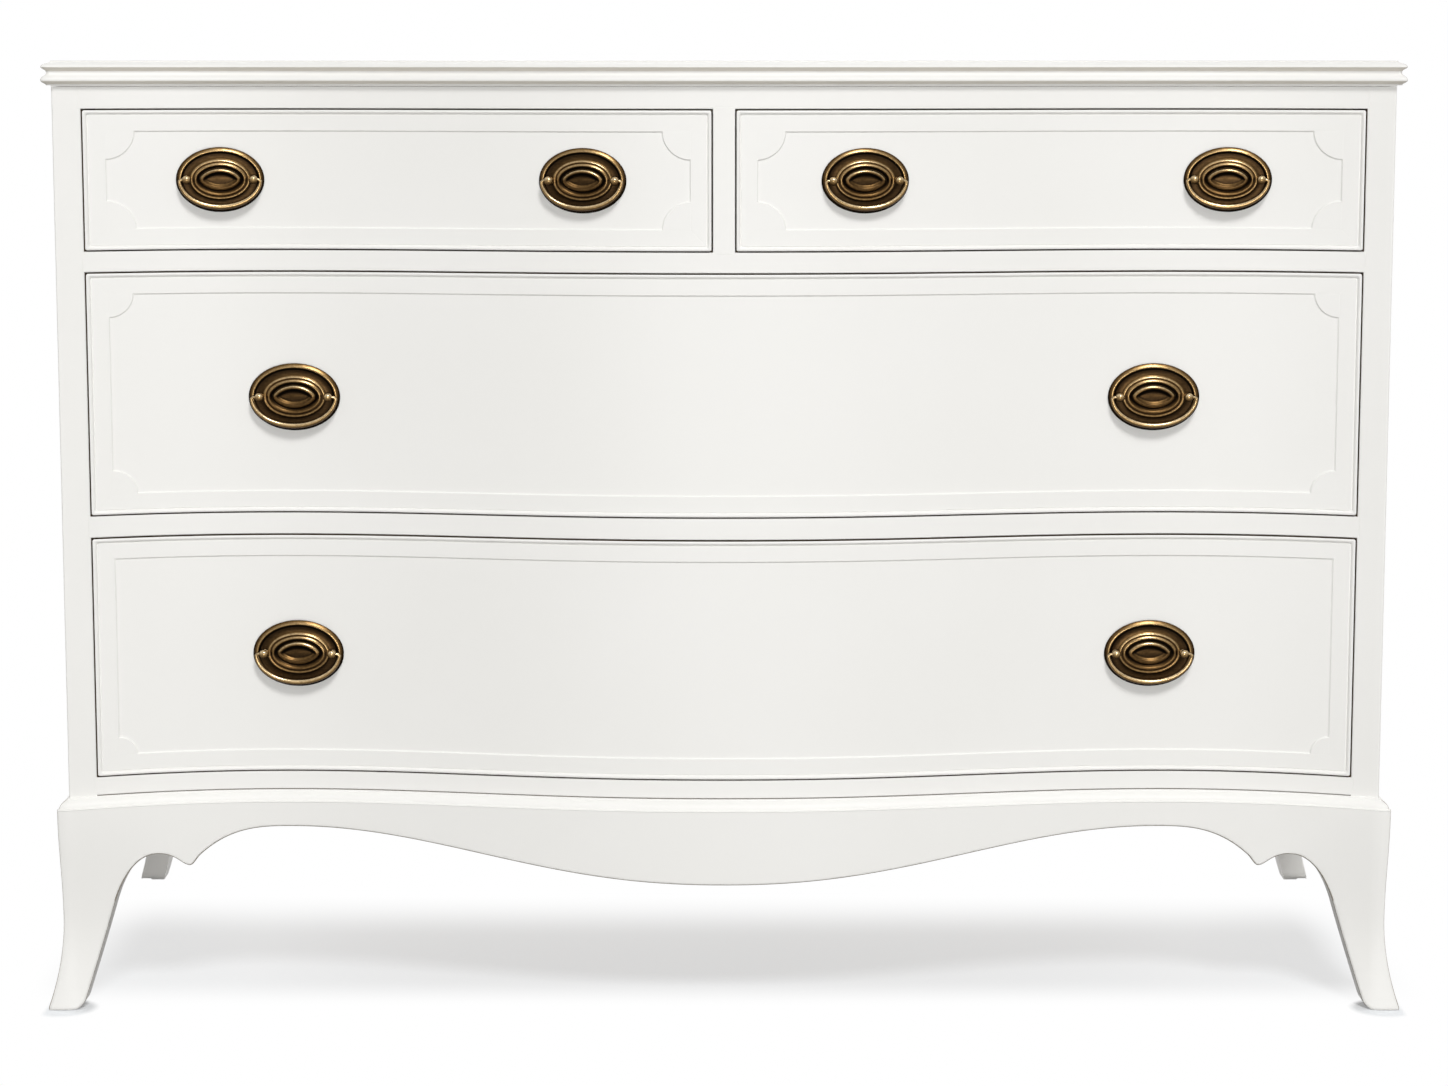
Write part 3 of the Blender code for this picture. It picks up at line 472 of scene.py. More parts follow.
# Joins closed rings of corners with a skin of quads, and closes both ends where asked
def skin(bm, rings, closed=True):
    for a, b in zip(rings, rings[1:]):
        for k in range(len(a)):
            j = (k + 1) % len(a)
            bm.faces.new((a[k], a[j], b[j], b[k]))
    if closed:
        bm.faces.new(rings[0])
        bm.faces.new(rings[-1])
    return rings


# Rings that follow an outline, each at its own inset and depth
def addRings(bm, outline, levels, shape=insetOutline, closed=False):
    rings = []
    for inset, depth in levels:
        rings.append([bm.verts.new((x, z, depth)) for x, z in shape(outline, inset)])
    return skin(bm, rings, closed)


hairShort = 0.0006              # a joint line stops this far from both its ends
hairTaper = 0.4


# A joint line: a thin groove from one point to another. Gives its rim
def addHair(bm, start, end, width, depth):
    a, b = Vector(start), Vector(end)
    along = (b - a).normalized()
    across = Vector((-along.y, along.x)) * width / 2
    a += along * hairShort
    b -= along * hairShort
    corners = [tuple(a - across), tuple(b - across), tuple(b + across), tuple(a + across)]
    groove = addRings(bm, corners, [(0.0, 0.0), (width * hairTaper, depth)])
    bm.faces.new(groove[-1])
    return groove[0]


# Fills the flat between an outer loop and the loops inside it
def fillBetween(bm, loops):
    edges = []
    for loop in loops:
        for a, b in zip(loop, loop[1:] + loop[:1]):
            edges.append(bm.edges.get((a, b)) or bm.edges.new((a, b)))
    bmesh.ops.triangle_fill(bm, use_beauty=True, edges=edges)


# Corner of a board's front edge, as insets and depths
def easedEdge(radius, thick, segments=3):
    turns = [math.pi / 2 * k / segments for k in range(segments + 1)]
    levels = [(radius * (1 - math.sin(a)), radius * (1 - math.cos(a))) for a in turns]
    return levels + [(0.0, thick)]


# How squarely a face has to look one way to count as looking that way
facing = {
    "back": 0.8,
    "opening": 0.97,
    "drawerEdge": 0.99,
    "inside": 0.5,
    "frontAtCorner": 0.08,      # faces on the turn to a side still look this much to the front
    "sideAtCorner": 0.9,        # and this many times as much to the side
    "lowerEdge": 0.8,           # what looks less to the front than this is on the turn of an edge
    "legEdge": 0.5,
}


# Faces on the turn from the front to a side, further out than a place
def onCorner(polygon, beyond=caseHalf):
    toSide, toFront = abs(polygon.normal.x), -polygon.normal.y
    if abs(polygon.center.x) <= beyond or toFront <= facing["frontAtCorner"]:
        return False
    return toSide > facing["sideAtCorner"] * toFront


# Case front: posts, rails and the upright between the small drawers, as one painted frame
caseFront = {
    "outerRadius": 0.0021,
    "openingRadius": 0.0011,
    "jointOut": 0.0016,         # the joint lines stand this far from the openings
    "jointWidth": 0.0005,
    "jointDepth": 0.00022,
    "quirk": (0.0011, 0.0018),  # height and depth of the groove above the base moulding
    "quirkDraft": 0.0001,
    "paintedSide": 0.001,       # the outermost strip, which is painted all round
    "sharpDegrees": 30,
}


def frontOpenings():
    middle = high("centre_mullion").x
    sill, head = high("upper_divider_rail").z, low("top_rail").z
    return [rectangle(-openHalf, -middle, sill, head), rectangle(middle, openHalf, sill, head),
            rectangle(-openHalf, openHalf, high("lower_divider_rail").z,
                      low("upper_divider_rail").z),
            rectangle(-openHalf, openHalf, high("bottom_rail").z, low("lower_divider_rail").z)]


# Joint lines of the frame, as pairs of end points
def frontJoints():
    out = caseFront["jointOut"]
    ends = []
    for node in ("top_rail", "upper_divider_rail", "lower_divider_rail"):
        upper = high(node).z + (out if node != "top_rail" else -out)
        for x in (-openHalf - out, openHalf + out):
            ends.append(((x, low(node).z - out), (x, upper)))
    foot = high("base_moulding").z + out
    for x in (-openHalf - out, openHalf + out):
        ends.append(((x, foot), (x, high("bottom_rail").z + out)))
    middle = high("centre_mullion").x - out / 2
    for z in (high("upper_divider_rail").z - out, low("top_rail").z + out):
        ends.append(((-middle, z), (middle, z)))
    return ends


def makeCaseFront():
    foot, head = low("front_post_left").z, high("front_post_left").z
    radius = caseFront["outerRadius"]

    def build(bm):
        outer = addRings(bm, rectangle(-caseHalf, caseHalf, foot, head),
                         easedEdge(radius, farBack))
        fronts, backs = [outer[0]], [outer[-1]]
        edge = [(-inset, depth) for inset, depth in easedEdge(caseFront["openingRadius"], farBack)]
        for opening in frontOpenings():
            rings = addRings(bm, opening, edge)
            fronts.append(rings[0])
            backs.append(rings[-1])
        for start, end in frontJoints():
            fronts.append(addHair(bm, start, end, caseFront["jointWidth"],
                                  caseFront["jointDepth"]))
        tall, deep = caseFront["quirk"]
        start = high("base_moulding").z
        quirk = addRings(bm, rectangle(-openHalf, openHalf, start, start + tall),
                         [(0.0, 0.0), (caseFront["quirkDraft"], deep)])
        bm.faces.new(quirk[-1])
        fillBetween(bm, fronts + [quirk[0]])
        fillBetween(bm, backs)
        cutAt(bm, frontColumns(), 0)
        for v in bm.verts:
            x, z, depth = v.co
            # the eased edge is wanted at the sides only, so the ends are made level again
            for end in (foot, head):
                z = end if abs(z - end) < radius * 1.005 else z
            v.co = (x, railBack if depth > farBack / 2 else frontY(x) + depth, z)

    # 0 and 1 are the painted rails and posts, 2 the bare back, 3 and 4 what looks into the
    # openings, in poplar darkened as painted shade, 5 the outer edges with painted shade
    def finish(polygon):
        centre, normal = polygon.center, polygon.normal
        if normal.y > facing["back"]:
            return 2
        if onCorner(polygon, caseHalf - radius):
            return 5
        square = max(abs(normal.x), abs(normal.z)) > facing["opening"]
        if square and abs(centre.x) < caseHalf - caseFront["paintedSide"]:
            return 3 if abs(normal.z) > abs(normal.x) else 4
        return 1 if abs(centre.x) > openHalf else 0

    makePainted(
        "caseFront", "case", ["front_post_left", "front_post_right", "top_rail",
                              "upper_divider_rail", "lower_divider_rail", "bottom_rail",
                              "centre_mullion"], build, caseFront["sharpDegrees"],
        [lacquerLevel, lacquerUpright, poplarWide, gapShadeWide, gapShadeTall, lacquerEdgeShade], finish)
    print("case front made")


# Side panels: painted outside, bare inside, with the back let in behind
sidePanels = {
    "edgeRadius": 0.0008,
    "edgeMiddle": 0.3,          # depth of the eased corner's middle, in shares of that radius
    "sharpDegrees": 32,
}


def makeSidePanels():
    for side, node, name in ((-1, "side_panel_left", "leftSide"),
                             (1, "side_panel_right", "rightSide")):
        a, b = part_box(node)
        inner, outer = caseHalf - (b.x - a.x), caseHalf
        rabbetX, rabbetY = high("back_panel").x + seatGap, low("back_panel").y - seatGap
        radius = sidePanels["edgeRadius"]
        cut = radius * sidePanels["edgeMiddle"]
        plan = [(inner, a.y), (outer, a.y), (outer, b.y - radius), (outer - cut, b.y - cut),
                (outer - radius, b.y), (rabbetX, b.y), (rabbetX, rabbetY), (inner, rabbetY)]

        def build(bm):
            skin(bm, [[bm.verts.new((side * x, y, z)) for x, y in plan] for z in (a.z, b.z)])

        makePainted(name, "case", [node], build, sidePanels["sharpDegrees"],
                    [lacquerUpright, poplarTall],
                    lambda polygon: 1 if polygon.normal.x * side < -facing["inside"] else 0)
    print("side panels made")


# Top board: two beads with a hollow between them, around the front and both sides
topBoard = {
    "cornerRadius": 0.0021,
    "leastRadius": 0.0002,
    "radiusShare": 0.9,         # where the moulding stands out little, of what it stands out
    "cornerMiddle": 0.29,       # depth of the eased corner's middle, in shares of the radius
    "agedEdge": (0.08, 0.4),    # millimetres down between which the painted edge shade runs
    # millimetres down of the bead undersides, which take painted shade
    "agedHollows": [(5.9, 9.4), (17.7, 20.8)],
    "sharpDegrees": 38,
    # millimetres down from the top, and millimetres outside the case
    "profile": [(0.0, -0.8), (0.1, -0.1), (0.35, 0.3), (1.1, 0.5), (1.5, 1.3), (1.8, 2.6),
                (2.4, 4.4), (3.2, 6.0), (4.1, 7.1), (5.0, 7.6), (5.7, 7.6), (6.3, 7.2), (7.0, 6.3),
                (7.7, 5.2), (8.4, 4.2), (9.1, 3.7), (10.0, 3.5), (11.0, 3.5), (12.0, 3.8),
                (12.8, 4.6), (13.6, 5.8), (14.4, 6.8), (15.3, 7.5), (16.2, 7.9), (17.0, 8.0),
                (17.8, 7.8), (18.5, 7.3), (19.2, 6.5), (19.8, 5.6), (20.3, 4.8), (20.7, 4.2),
                (21.0, 4.0), (21.5, 3.9), (21.65, 3.6), (21.7, -0.5), (22.7, -0.5)],
}


# Plan of a moulding that stands this far outside the case, with the corners eased
def planRing(out):
    corner = caseHalf + out
    radius = clamp(out * topBoard["radiusShare"], topBoard["leastRadius"],
                   topBoard["cornerRadius"])
    cut = radius * topBoard["cornerMiddle"]
    start = frontY(corner) - out
    half = [(corner, backLine), (corner, start + radius), (corner - cut, start + cut),
            (corner - radius, frontY(corner - radius) - out)]
    front = [(x, frontY(x) - out) for x in reversed(frontColumns())]
    return half + front + [(-x, y) for x, y in reversed(half)]


def makeTop():
    def build(bm):
        skin(bm, [[bm.verts.new((x, y, topHeight - down / 1000)) for x, y in planRing(out / 1000)]
                  for down, out in topBoard["profile"]])

    # the front's top arris and the eased corners take the painted edge shade, the bead undersides
    # painted shade
    def finish(polygon):
        down = (topHeight - polygon.center.z) * 1000
        start, end = topBoard["agedEdge"]
        if start < down < end and polygon.center.y < 0 or onCorner(polygon):
            return 1
        return 2 if any(start < down < end for start, end in topBoard["agedHollows"]) else 0

    makePainted("topBoard", "case", ["top_board"], build, topBoard["sharpDegrees"],
                [lacquerLevel, lacquerEdgeShade, lacquerHollowShade], finish)
    print("top made")


# Base boards: apron, arches and splayed bracket feet, modelled as one strip that runs from the back
# of the left side, around the front, to the back of the right side
baseBoards = {
    "proud": 0.0095,            # outside the case
    "thick": 0.025,
    "taper": 0.003,             # the legs draw in by this at the ankle
    "ankle": 0.083,
    "splay": 0.0142,            # from the ankle out to the toe
    # the lower edge, as widths in from a corner and heights. A pull is how far a curve's handle
    # lies from the point it belongs to
    "toe": 0.0205,
    "rearToe": 0.032,
    "toeCurve": (0.0078, 0.0086),    # the inner corner of a toe is rounded over this
    "toePulls": (0.45, 0.4),         # in shares of that height and width
    "knee": (0.0478, 0.0940),
    "kneePull": (0.0080, 0.0262),
    "peak": (0.0856, 0.1381),
    "peakPull": 0.0161,
    "risePulls": ((0.42, -0.0008), (0.2, 0.0)),    # shares of the way to the spur, and heights
    "spur": (0.1157, 0.1262),        # a small round nose that points down
    "nosePulls": ((0.0059, 0.0063), (0.0034, 0.0)),
    "spurPull": (0.0092, 0.0048),    # how far the short rise beside it goes
    "spurPulls": ((0.35, 0.0002), (0.67, 0.002496)),    # shares of its width, and heights
    "curveSteps": (7, 6, 8, 14, 1, 6),
    "archWidth": 0.2095,
    "archHeight": 0.1613,
    "archPart": (0.90, 0.04),        # the arch is drawn up to this share of its run, in such steps
    "apronHeight": 0.1157,
    "sideArchHeight": 0.152,
    # its edges
    "edgeRadius": 0.0020,
    "toeRadius": 0.0030,
    "toeRounding": (0.002, 0.012),   # heights between which the one goes over into the other
    "squareFrom": 0.001,             # the upper edge is square from this far under the top
    "toeSlit": (0.0018, 0.010),      # height and depth of the relief under the front of a toe
    "slitEnds": (0.001, 0.002),      # heights between which it ends
    "cornerRadius": 0.0023,
    "paintedUpTo": 0.120,            # the legs are sprayed on the inside too
    "agedDepth": 0.003,              # the painted edge shade stops this far in front of the case
    "agedLegUpTo": 0.096,            # and follows both corners of a leg up to here
    "columnStep": 0.012,
    "rowStep": 0.005,
    "weldReach": 0.00002,
    "sharpDegrees": 40,
}
baseHalf = caseHalf + baseBoards["proud"]


# How far the outside stands out at a height, beyond what it does at the top
def splayAt(z):
    if z >= baseTop:
        return 0.0
    if z > baseBoards["ankle"]:
        share = (z - baseBoards["ankle"]) / (baseTop - baseBoards["ankle"])
        return -baseBoards["taper"] * (1 + math.cos(math.pi * share)) / 2
    return -baseBoards["taper"] + baseBoards["splay"] * (1 - max(0, z) / baseBoards["ankle"]) ** 2


def cornerY(z):
    out = baseBoards["proud"] + splayAt(z)
    return frontY(caseHalf + out) - out


def bezier(points, count):
    curve = []
    for k in range(1, count + 1):
        t = k / count
        weights = ((1 - t) ** 3, 3 * t * (1 - t) ** 2, 3 * t * t * (1 - t), t ** 3)
        curve.append(tuple(sum(w * p[axis] for w, p in zip(weights, points)) for axis in (0, 1)))
    return curve


def beside(point, wide, tall):
    return point[0] + wide, point[1] + tall


# Lower edge from an arch to the floor, as width in from the corner and height
def bracketEdge(archHeight, toe):
    spur, peak, knee = baseBoards["spur"], baseBoards["peak"], baseBoards["knee"]
    steep = (baseBoards["archHeight"] - spur[1]) / (baseBoards["archWidth"] - spur[0]) ** 3
    run = ((archHeight - spur[1]) / steep) ** (1 / 3)
    points = [(spur[0] + run * (1 - s), archHeight - steep * (run * s) ** 3)
              for s in steps(0, *baseBoards["archPart"])]
    noseIn, noseOut = (beside(spur, *pull) for pull in baseBoards["nosePulls"])
    wide, tall = baseBoards["spurPull"]
    spurIn, spurOut = (beside(spur, -wide * share, up) for share, up in baseBoards["spurPulls"])
    riseIn, riseOut = (beside(peak, (spur[0] - peak[0]) * share, up)
                       for share, up in baseBoards["risePulls"])
    toeWide, toeTall = baseBoards["toeCurve"]
    upPull, inPull = baseBoards["toePulls"]
    slope = (knee[0] - toe) / knee[1]
    leg = (toe + slope * toeTall, toeTall)
    # each curve runs on from the last point, by two handles, to its own end
    curves = [
        (noseIn, noseOut, spur),
        (spurIn, spurOut, beside(spur, -wide, tall)),
        (riseIn, riseOut, peak),
        (beside(peak, -baseBoards["peakPull"], 0), beside(knee, *baseBoards["kneePull"]), knee),
        (knee, leg, leg),
        ((toe + slope * toeTall * upPull, toeTall * upPull), (toe - toeWide * inPull, 0.0),
         (toe - toeWide, 0.0))]
    for (first, second, end), count in zip(curves, baseBoards["curveSteps"]):
        points += bezier([points[-1], first, second, end], count)
    return points


# Outline of the whole strip, as distance along it from the middle and height
def baseOutline():
    end = baseHalf + backLine - cornerY(baseTop)
    archX = baseHalf - baseBoards["archWidth"]
    apron, arch = baseBoards["apronHeight"], baseBoards["archHeight"]
    toe, sideArch = baseBoards["toe"], baseBoards["sideArchHeight"]
    half = [(x, apron + (arch - apron) * ease(x / archX))
            for x in steps(0, archX, baseBoards["columnStep"])[:-1]]
    half += [(baseHalf - u, z) for u, z in bracketEdge(arch, toe)]
    half.append((baseHalf, 0.0))
    half += [(baseHalf + u, z) for u, z in reversed(bracketEdge(sideArch, toe))]
    half += [(end - u, z) for u, z in bracketEdge(sideArch, baseBoards["rearToe"])]
    half += [(end, 0.0), (end, baseTop)]
    return [(-s, z) for s, z in reversed(half[1:])] + half, end


def makeBase():
    outline, end = baseOutline()
    thick = baseBoards["thick"]
    cornerStart = cornerY(baseTop)
    toe = baseBoards["toe"] - baseBoards["toeCurve"][0]
    spur, knee = baseBoards["spur"][0], baseBoards["knee"][0]
    rounding = baseBoards["cornerRadius"]
    slitTall, slitDeep = baseBoards["toeSlit"]

    # How much of the splay there is at a width in from the corner
    def legShare(u):
        share = fall(u, knee, spur)
        return share * share * (3 - 2 * share)

    def edgeInset(size):
        def inset(point):
            if point[1] > baseTop - baseBoards["squareFrom"]:
                return 0.0
            more = baseBoards["toeRadius"] / baseBoards["edgeRadius"] - 1
            return size * (1 + more * fall(point[1], *baseBoards["toeRounding"]))
        return inset

    def slit(point):
        return slitTall * fall(point[1], *baseBoards["slitEnds"])

    # Place of a point along the strip, at a height and a depth behind the face, with a sharp corner
    def sharpPlace(s, z, depth):
        a = abs(s)
        flare = splayAt(z)
        insideX = baseHalf + flare - depth
        insideY = cornerY(z) + depth
        if a <= baseHalf:
            x = min(a + flare * fall(baseHalf - a, 0, toe), insideX)
            y = frontY(x) - baseBoards["proud"] - flare * legShare(baseHalf - a) + depth
            if x >= insideX:
                y = insideY
        else:
            v = a - baseHalf
            y = max(cornerStart + v + (cornerY(z) - cornerStart) * fall(v, 0, toe), insideY)
            side = baseHalf + flare * legShare(min(v, end - a)) - depth
            x = insideX if y <= insideY else side
        return Vector((math.copysign(x, s), y, z))

    # The corner is rounded by a curve between two points beside it
    def finalPlace(s, z, depth):
        a = abs(s)
        if depth > rounding or abs(a - baseHalf) >= rounding:
            return sharpPlace(s, z, depth)
        t = (a - baseHalf + rounding) / (2 * rounding)
        ends = [sharpPlace(math.copysign(baseHalf + step, s), z, depth)
                for step in (-rounding, 0, rounding)]
        return ends[0] * (1 - t) ** 2 + ends[1] * 2 * t * (1 - t) + ends[2] * t ** 2

    # Faces on the turn of the front's lower edge, and of the corners of the legs, which take the
    # painted edge shade
    def onShadedEdge(face):
        normal = face.normal if face.normal.y < 0 else -face.normal
        centre = face.calc_center_median()
        toFront, toSide = -normal.y, normal.x * math.copysign(1, centre.x)
        if centre.y > frontY(centre.x) - baseBoards["agedDepth"]:
            return False
        if toFront < facing["frontAtCorner"]:
            return False
        if centre.z > baseBoards["agedLegUpTo"]:
            return toFront < facing["lowerEdge"]
        return toFront < facing["legEdge"] or toSide > facing["sideAtCorner"] * toFront

    def build(bm):
        edge = easedEdge(baseBoards["edgeRadius"], thick)
        levels = [(edgeInset(inset), depth) for inset, depth in edge[:-1]]
        levels[-1] = (slit, levels[-1][1])
        levels += [(slit, slitDeep), (0.0, slitDeep + slitTall), (0.0, thick)]
        rings = addRings(bm, outline, levels)
        bm.faces.new(rings[0])
        bm.faces.new(rings[-1]).material_index = 1
        beyond = steps(caseHalf, end, baseBoards["columnStep"])[1:]
        beyond += [baseHalf - spur, baseHalf - knee, baseHalf + knee, baseHalf + spur]
        beyond += [baseHalf + rounding * share for share in (-1, -0.5, 0, 0.5, 1)]
        cutAt(bm, frontColumns() + beyond + [-s for s in beyond], 0)
        rows = steps(0, baseTop, baseBoards["rowStep"])[1:-1]
        cutAt(bm, rows + [baseBoards["paintedUpTo"]], 1)
        for face in bm.faces:
            if face.calc_center_median().y < baseBoards["paintedUpTo"]:
                face.material_index = 0
        for v in bm.verts:
            v.co = finalPlace(*v.co)
        bmesh.ops.remove_doubles(bm, verts=bm.verts, dist=baseBoards["weldReach"])
        bmesh.ops.dissolve_degenerate(bm, dist=baseBoards["weldReach"], edges=bm.edges)
        bm.normal_update()
        for face in bm.faces:
            face.material_index = 2 if onShadedEdge(face) else face.material_index

    makePainted("baseBoards", "case", ["front_skirt", "side_skirt_left", "side_skirt_right"],
                build, baseBoards["sharpDegrees"], [lacquerLevel, poplarWide, lacquerEdgeShade])
    print("base made")


# Moulding on top of the base boards: a fillet, an ovolo and a second, smaller fillet
baseMoulding = {
    # millimetres up from the base boards, and millimetres outside the case
    "profile": [(0.0, 9.2), (0.15, 9.5), (0.6, 9.6), (1.0, 9.4), (1.35, 8.9), (1.5, 8.2),
                (1.7, 7.9), (2.4, 7.85), (3.5, 7.5), (4.7, 6.8), (5.9, 5.9), (7.0, 4.7),
                (7.9, 3.5), (8.5, 2.5), (8.8, 1.9), (9.0, 1.7), (9.7, 1.65), (10.1, 1.4),
                (10.3, 0.9)],
    "sharpDegrees": 38,
}


def makeBaseMoulding():
    rise = high("base_moulding").z - baseTop
    top = baseMoulding["profile"][-1][0]
    section = [(up / top * rise, out / 1000) for up, out in baseMoulding["profile"]]
    section = [(0.0, 0.0)] + section + [(rise, 0.0)]

    def build(bm):
        lines = [[(x, y, baseTop + up) for x, y in planRing(out)] for up, out in section]
        skin(bm, [[bm.verts.new(spot) for spot in ring] for ring in zip(*lines)])

    # its eased corners take the painted edge shade
    makePainted("baseMoulding", "case", ["base_moulding"], build, baseMoulding["sharpDegrees"],
                [lacquerLevel, lacquerEdgeShade], lambda polygon: 1 if onCorner(polygon) else 0)
    print("base moulding made")


# Drawer fronts: a cock bead around the edge, a frame with mitred corners, and a sunk panel
drawerFronts = {
    "cornerRadius": 0.0018,
    "faceThick": 0.005,         # painted layer in front of the bare wood that holds the dovetails
    # millimetres in from the edge, and behind the face (the bead stands in front of it)
    "bead": [(0.0, 0.0), (0.0, -0.6), (0.12, -0.95), (0.45, -1.3), (1.0, -1.5), (1.6, -1.53),
             (2.2, -1.38), (2.75, -1.0), (3.15, -0.4), (3.35, 0.2), (3.6, 0.5), (3.9, 0.5),
             (4.2, 0.25), (4.5, 0.0)],
    "panelStep": [(0.0, 0.0), (0.15, 0.3), (0.6, 0.85), (1.1, 1.15), (1.5, 1.2)],
    "margin": 0.0185,
    "corner": {"small_drawer_left": 0.025, "small_drawer_right": 0.025, "middle_drawer": 0.021,
               "lower_drawer": 0.016},
    "roundSteps": 4,            # facets of a corner of the front
    "cornerSteps": 14,          # and of a scooped corner of the panel
    "squareTop": ["lower_drawer"],
    "jointGap": 0.0004,         # around the dovetails
    "hairWidth": 0.00035,       # joint lines of the mitred frame
    "hairDepth": 0.00008,
    "hairShort": 0.3,           # they stop short of the bead by this share of the corner's radius
    "probeStep": 0.01,          # between the places where the depth of the front is read
    "sharpDegrees": 30,
}


def panelLoop(x0, x1, z0, z1, radius, squareTop):
    count = drawerFronts["cornerSteps"]
    points = arc((x0, z0), radius, 90, 0, count) + arc((x1, z0), radius, 180, 90, count)
    if squareTop:
        return points + [(x1, z1), (x0, z1)]
    return points + arc((x1, z1), radius, 270, 180, count) + arc((x0, z1), radius, 0, -90, count)


# Outline of a front with rounded corners, drawn in all round
def insetRounded(sides, inset):
    radius = drawerFronts["cornerRadius"]
    x0, x1, z0, z1 = (side + step for side, step in zip(sides, (inset, -inset, inset, -inset)))
    points = []
    for x, z, turn in ((x0 + radius, z0 + radius, 180), (x1 - radius, z0 + radius, 270),
                       (x1 - radius, z1 - radius, 0), (x0 + radius, z1 - radius, 90)):
        points += arc((x, z), radius, turn, turn + 90, drawerFronts["roundSteps"])
    return points


def makeDrawerFace(drawer, name):
    a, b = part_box(drawer + "_front")
    radius = drawerFronts["corner"][drawer]
    square = drawer in drawerFronts["squareTop"]
    margin = drawerFronts["margin"]
    bead, panelStep = ([(inset / 1000, depth / 1000) for inset, depth in drawerFronts[part]]
                       for part in ("bead", "panelStep"))
    x0, x1, z0, z1 = a.x + margin, b.x - margin, a.z + margin, b.z - margin
    reach = margin - bead[-1][0] - drawerFronts["cornerRadius"] * drawerFronts["hairShort"]
    hairs = []
    for cx, cz, sx, sz in ((x0, z0, 1, 1), (x1, z0, -1, 1), (x1, z1, -1, -1), (x0, z1, 1, -1)):
        hairs.append(((cx - sx * reach, cz - sz * reach), (cx, cz)))
        if not (square and sz < 0):
            hairs.append(((cx, cz), (cx + sx * radius, cz)))
            hairs.append(((cx, cz), (cx, cz + sz * radius)))

    def build(bm):
        rings = addRings(bm, (a.x, b.x, a.z, b.z), [(0.0, drawerFronts["faceThick"])] + bead,
                         insetRounded)
        bm.faces.new(rings[0])
        recess = addRings(bm, panelLoop(x0, x1, z0, z1, radius, square), panelStep)
        bm.faces.new(recess[-1])
        loops = [rings[-1], recess[0]]
        for start, end in hairs:
            loops.append(addHair(bm, start, end, drawerFronts["hairWidth"],
                                 drawerFronts["hairDepth"]))
        fillBetween(bm, loops)
        cutAt(bm, frontColumns(), 0)
        for v in bm.verts:
            x, z, depth = v.co
            v.co = (x, frontY(x) + depth, z)

    # the edges in the gaps, and the hidden back, take poplar darkened as painted shade
    def finish(polygon):
        outward = max(abs(polygon.normal.x), abs(polygon.normal.z))
        return 1 if outward > facing["drawerEdge"] or polygon.normal.y > facing["back"] else 0

    makePainted(name, drawer, [drawer + "_front"], build, drawerFronts["sharpDegrees"],
                [lacquerLevel, gapShadeWide], finish)


# The bare wood behind the painted face, curved in front. Its sockets are cut by copies of the
# drawer's own sides and bottom, which are welded and then grown by the joint's gap
def makeDrawerCore(drawer, name):
    a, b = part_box(drawer + "_front")
    leftIn, rightIn = high(drawer + "_side_left").x, low(drawer + "_side_right").x
    thick = b.y - max(frontY(x) for x in steps(leftIn, rightIn, drawerFronts["probeStep"]))

    def build(bm):
        addRings(bm, rectangle(a.x, b.x, a.z, b.z), [(0.0, 0.0), (0.0, farBack)], closed=True)
        cutAt(bm, frontColumns() + [leftIn, rightIn], 0)
        for v in bm.verts:
            x, z, depth = v.co
            inner = frontY(clamp(x, leftIn, rightIn)) + thick
            v.co = (x, inner if depth > farBack / 2 else frontY(x) + drawerFronts["faceThick"], z)

    tools = []
    for piece in ("_side_left", "_side_right", "_bottom"):
        tool = newObject("socketTool", frame["nodes"][drawer + piece].data.copy())
        weld = tool.modifiers.new("weld", "WELD")
        weld.merge_threshold = weldReach
        grow = tool.modifiers.new("joint line", "DISPLACE")
        grow.strength = drawerFronts["jointGap"]
        grow.mid_level = 0.0
        tools.append(tool)
    core = newObject(name, settleCut(newObject(name, meshFrom(name, build)), tools))
    setMaterials(core.data, [poplarWide])
    place(core, drawer, [drawer + "_front"])


drawers = {
    "small_drawer_left": "leftSmallDrawer",
    "small_drawer_right": "rightSmallDrawer",
    "middle_drawer": "middleDrawer",
    "lower_drawer": "lowerDrawer",
}


def makeDrawers():
    for drawer, name in drawers.items():
        makeDrawerFace(drawer, name + "Face")
        makeDrawerCore(drawer, name + "Core")
        for part, wood in (("_side_left", poplarDeep), ("_side_right", poplarDeep),
                           ("_back", poplarWide), ("_bottom", birchWide)):
            setMaterials(frame["nodes"][drawer + part].data, [wood])
    print("drawers made")


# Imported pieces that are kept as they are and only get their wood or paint
def dressInside():
    woods = {"upper_dust_frame": poplarWide, "lower_dust_frame": poplarWide,
             "bottom_dust_frame": poplarWide, "centre_guide": poplarDeep,
             "top_back_rail": poplarWide, "corner_block_left": poplarTall,
             "corner_block_right": poplarTall, "rear_bracket_left": lacquerLevel,
             "rear_bracket_right": lacquerLevel, "back_panel": birchWide}
    for node, wood in woods.items():
        setMaterials(frame["nodes"][node].data, [wood])
    print("inside pieces dressed")


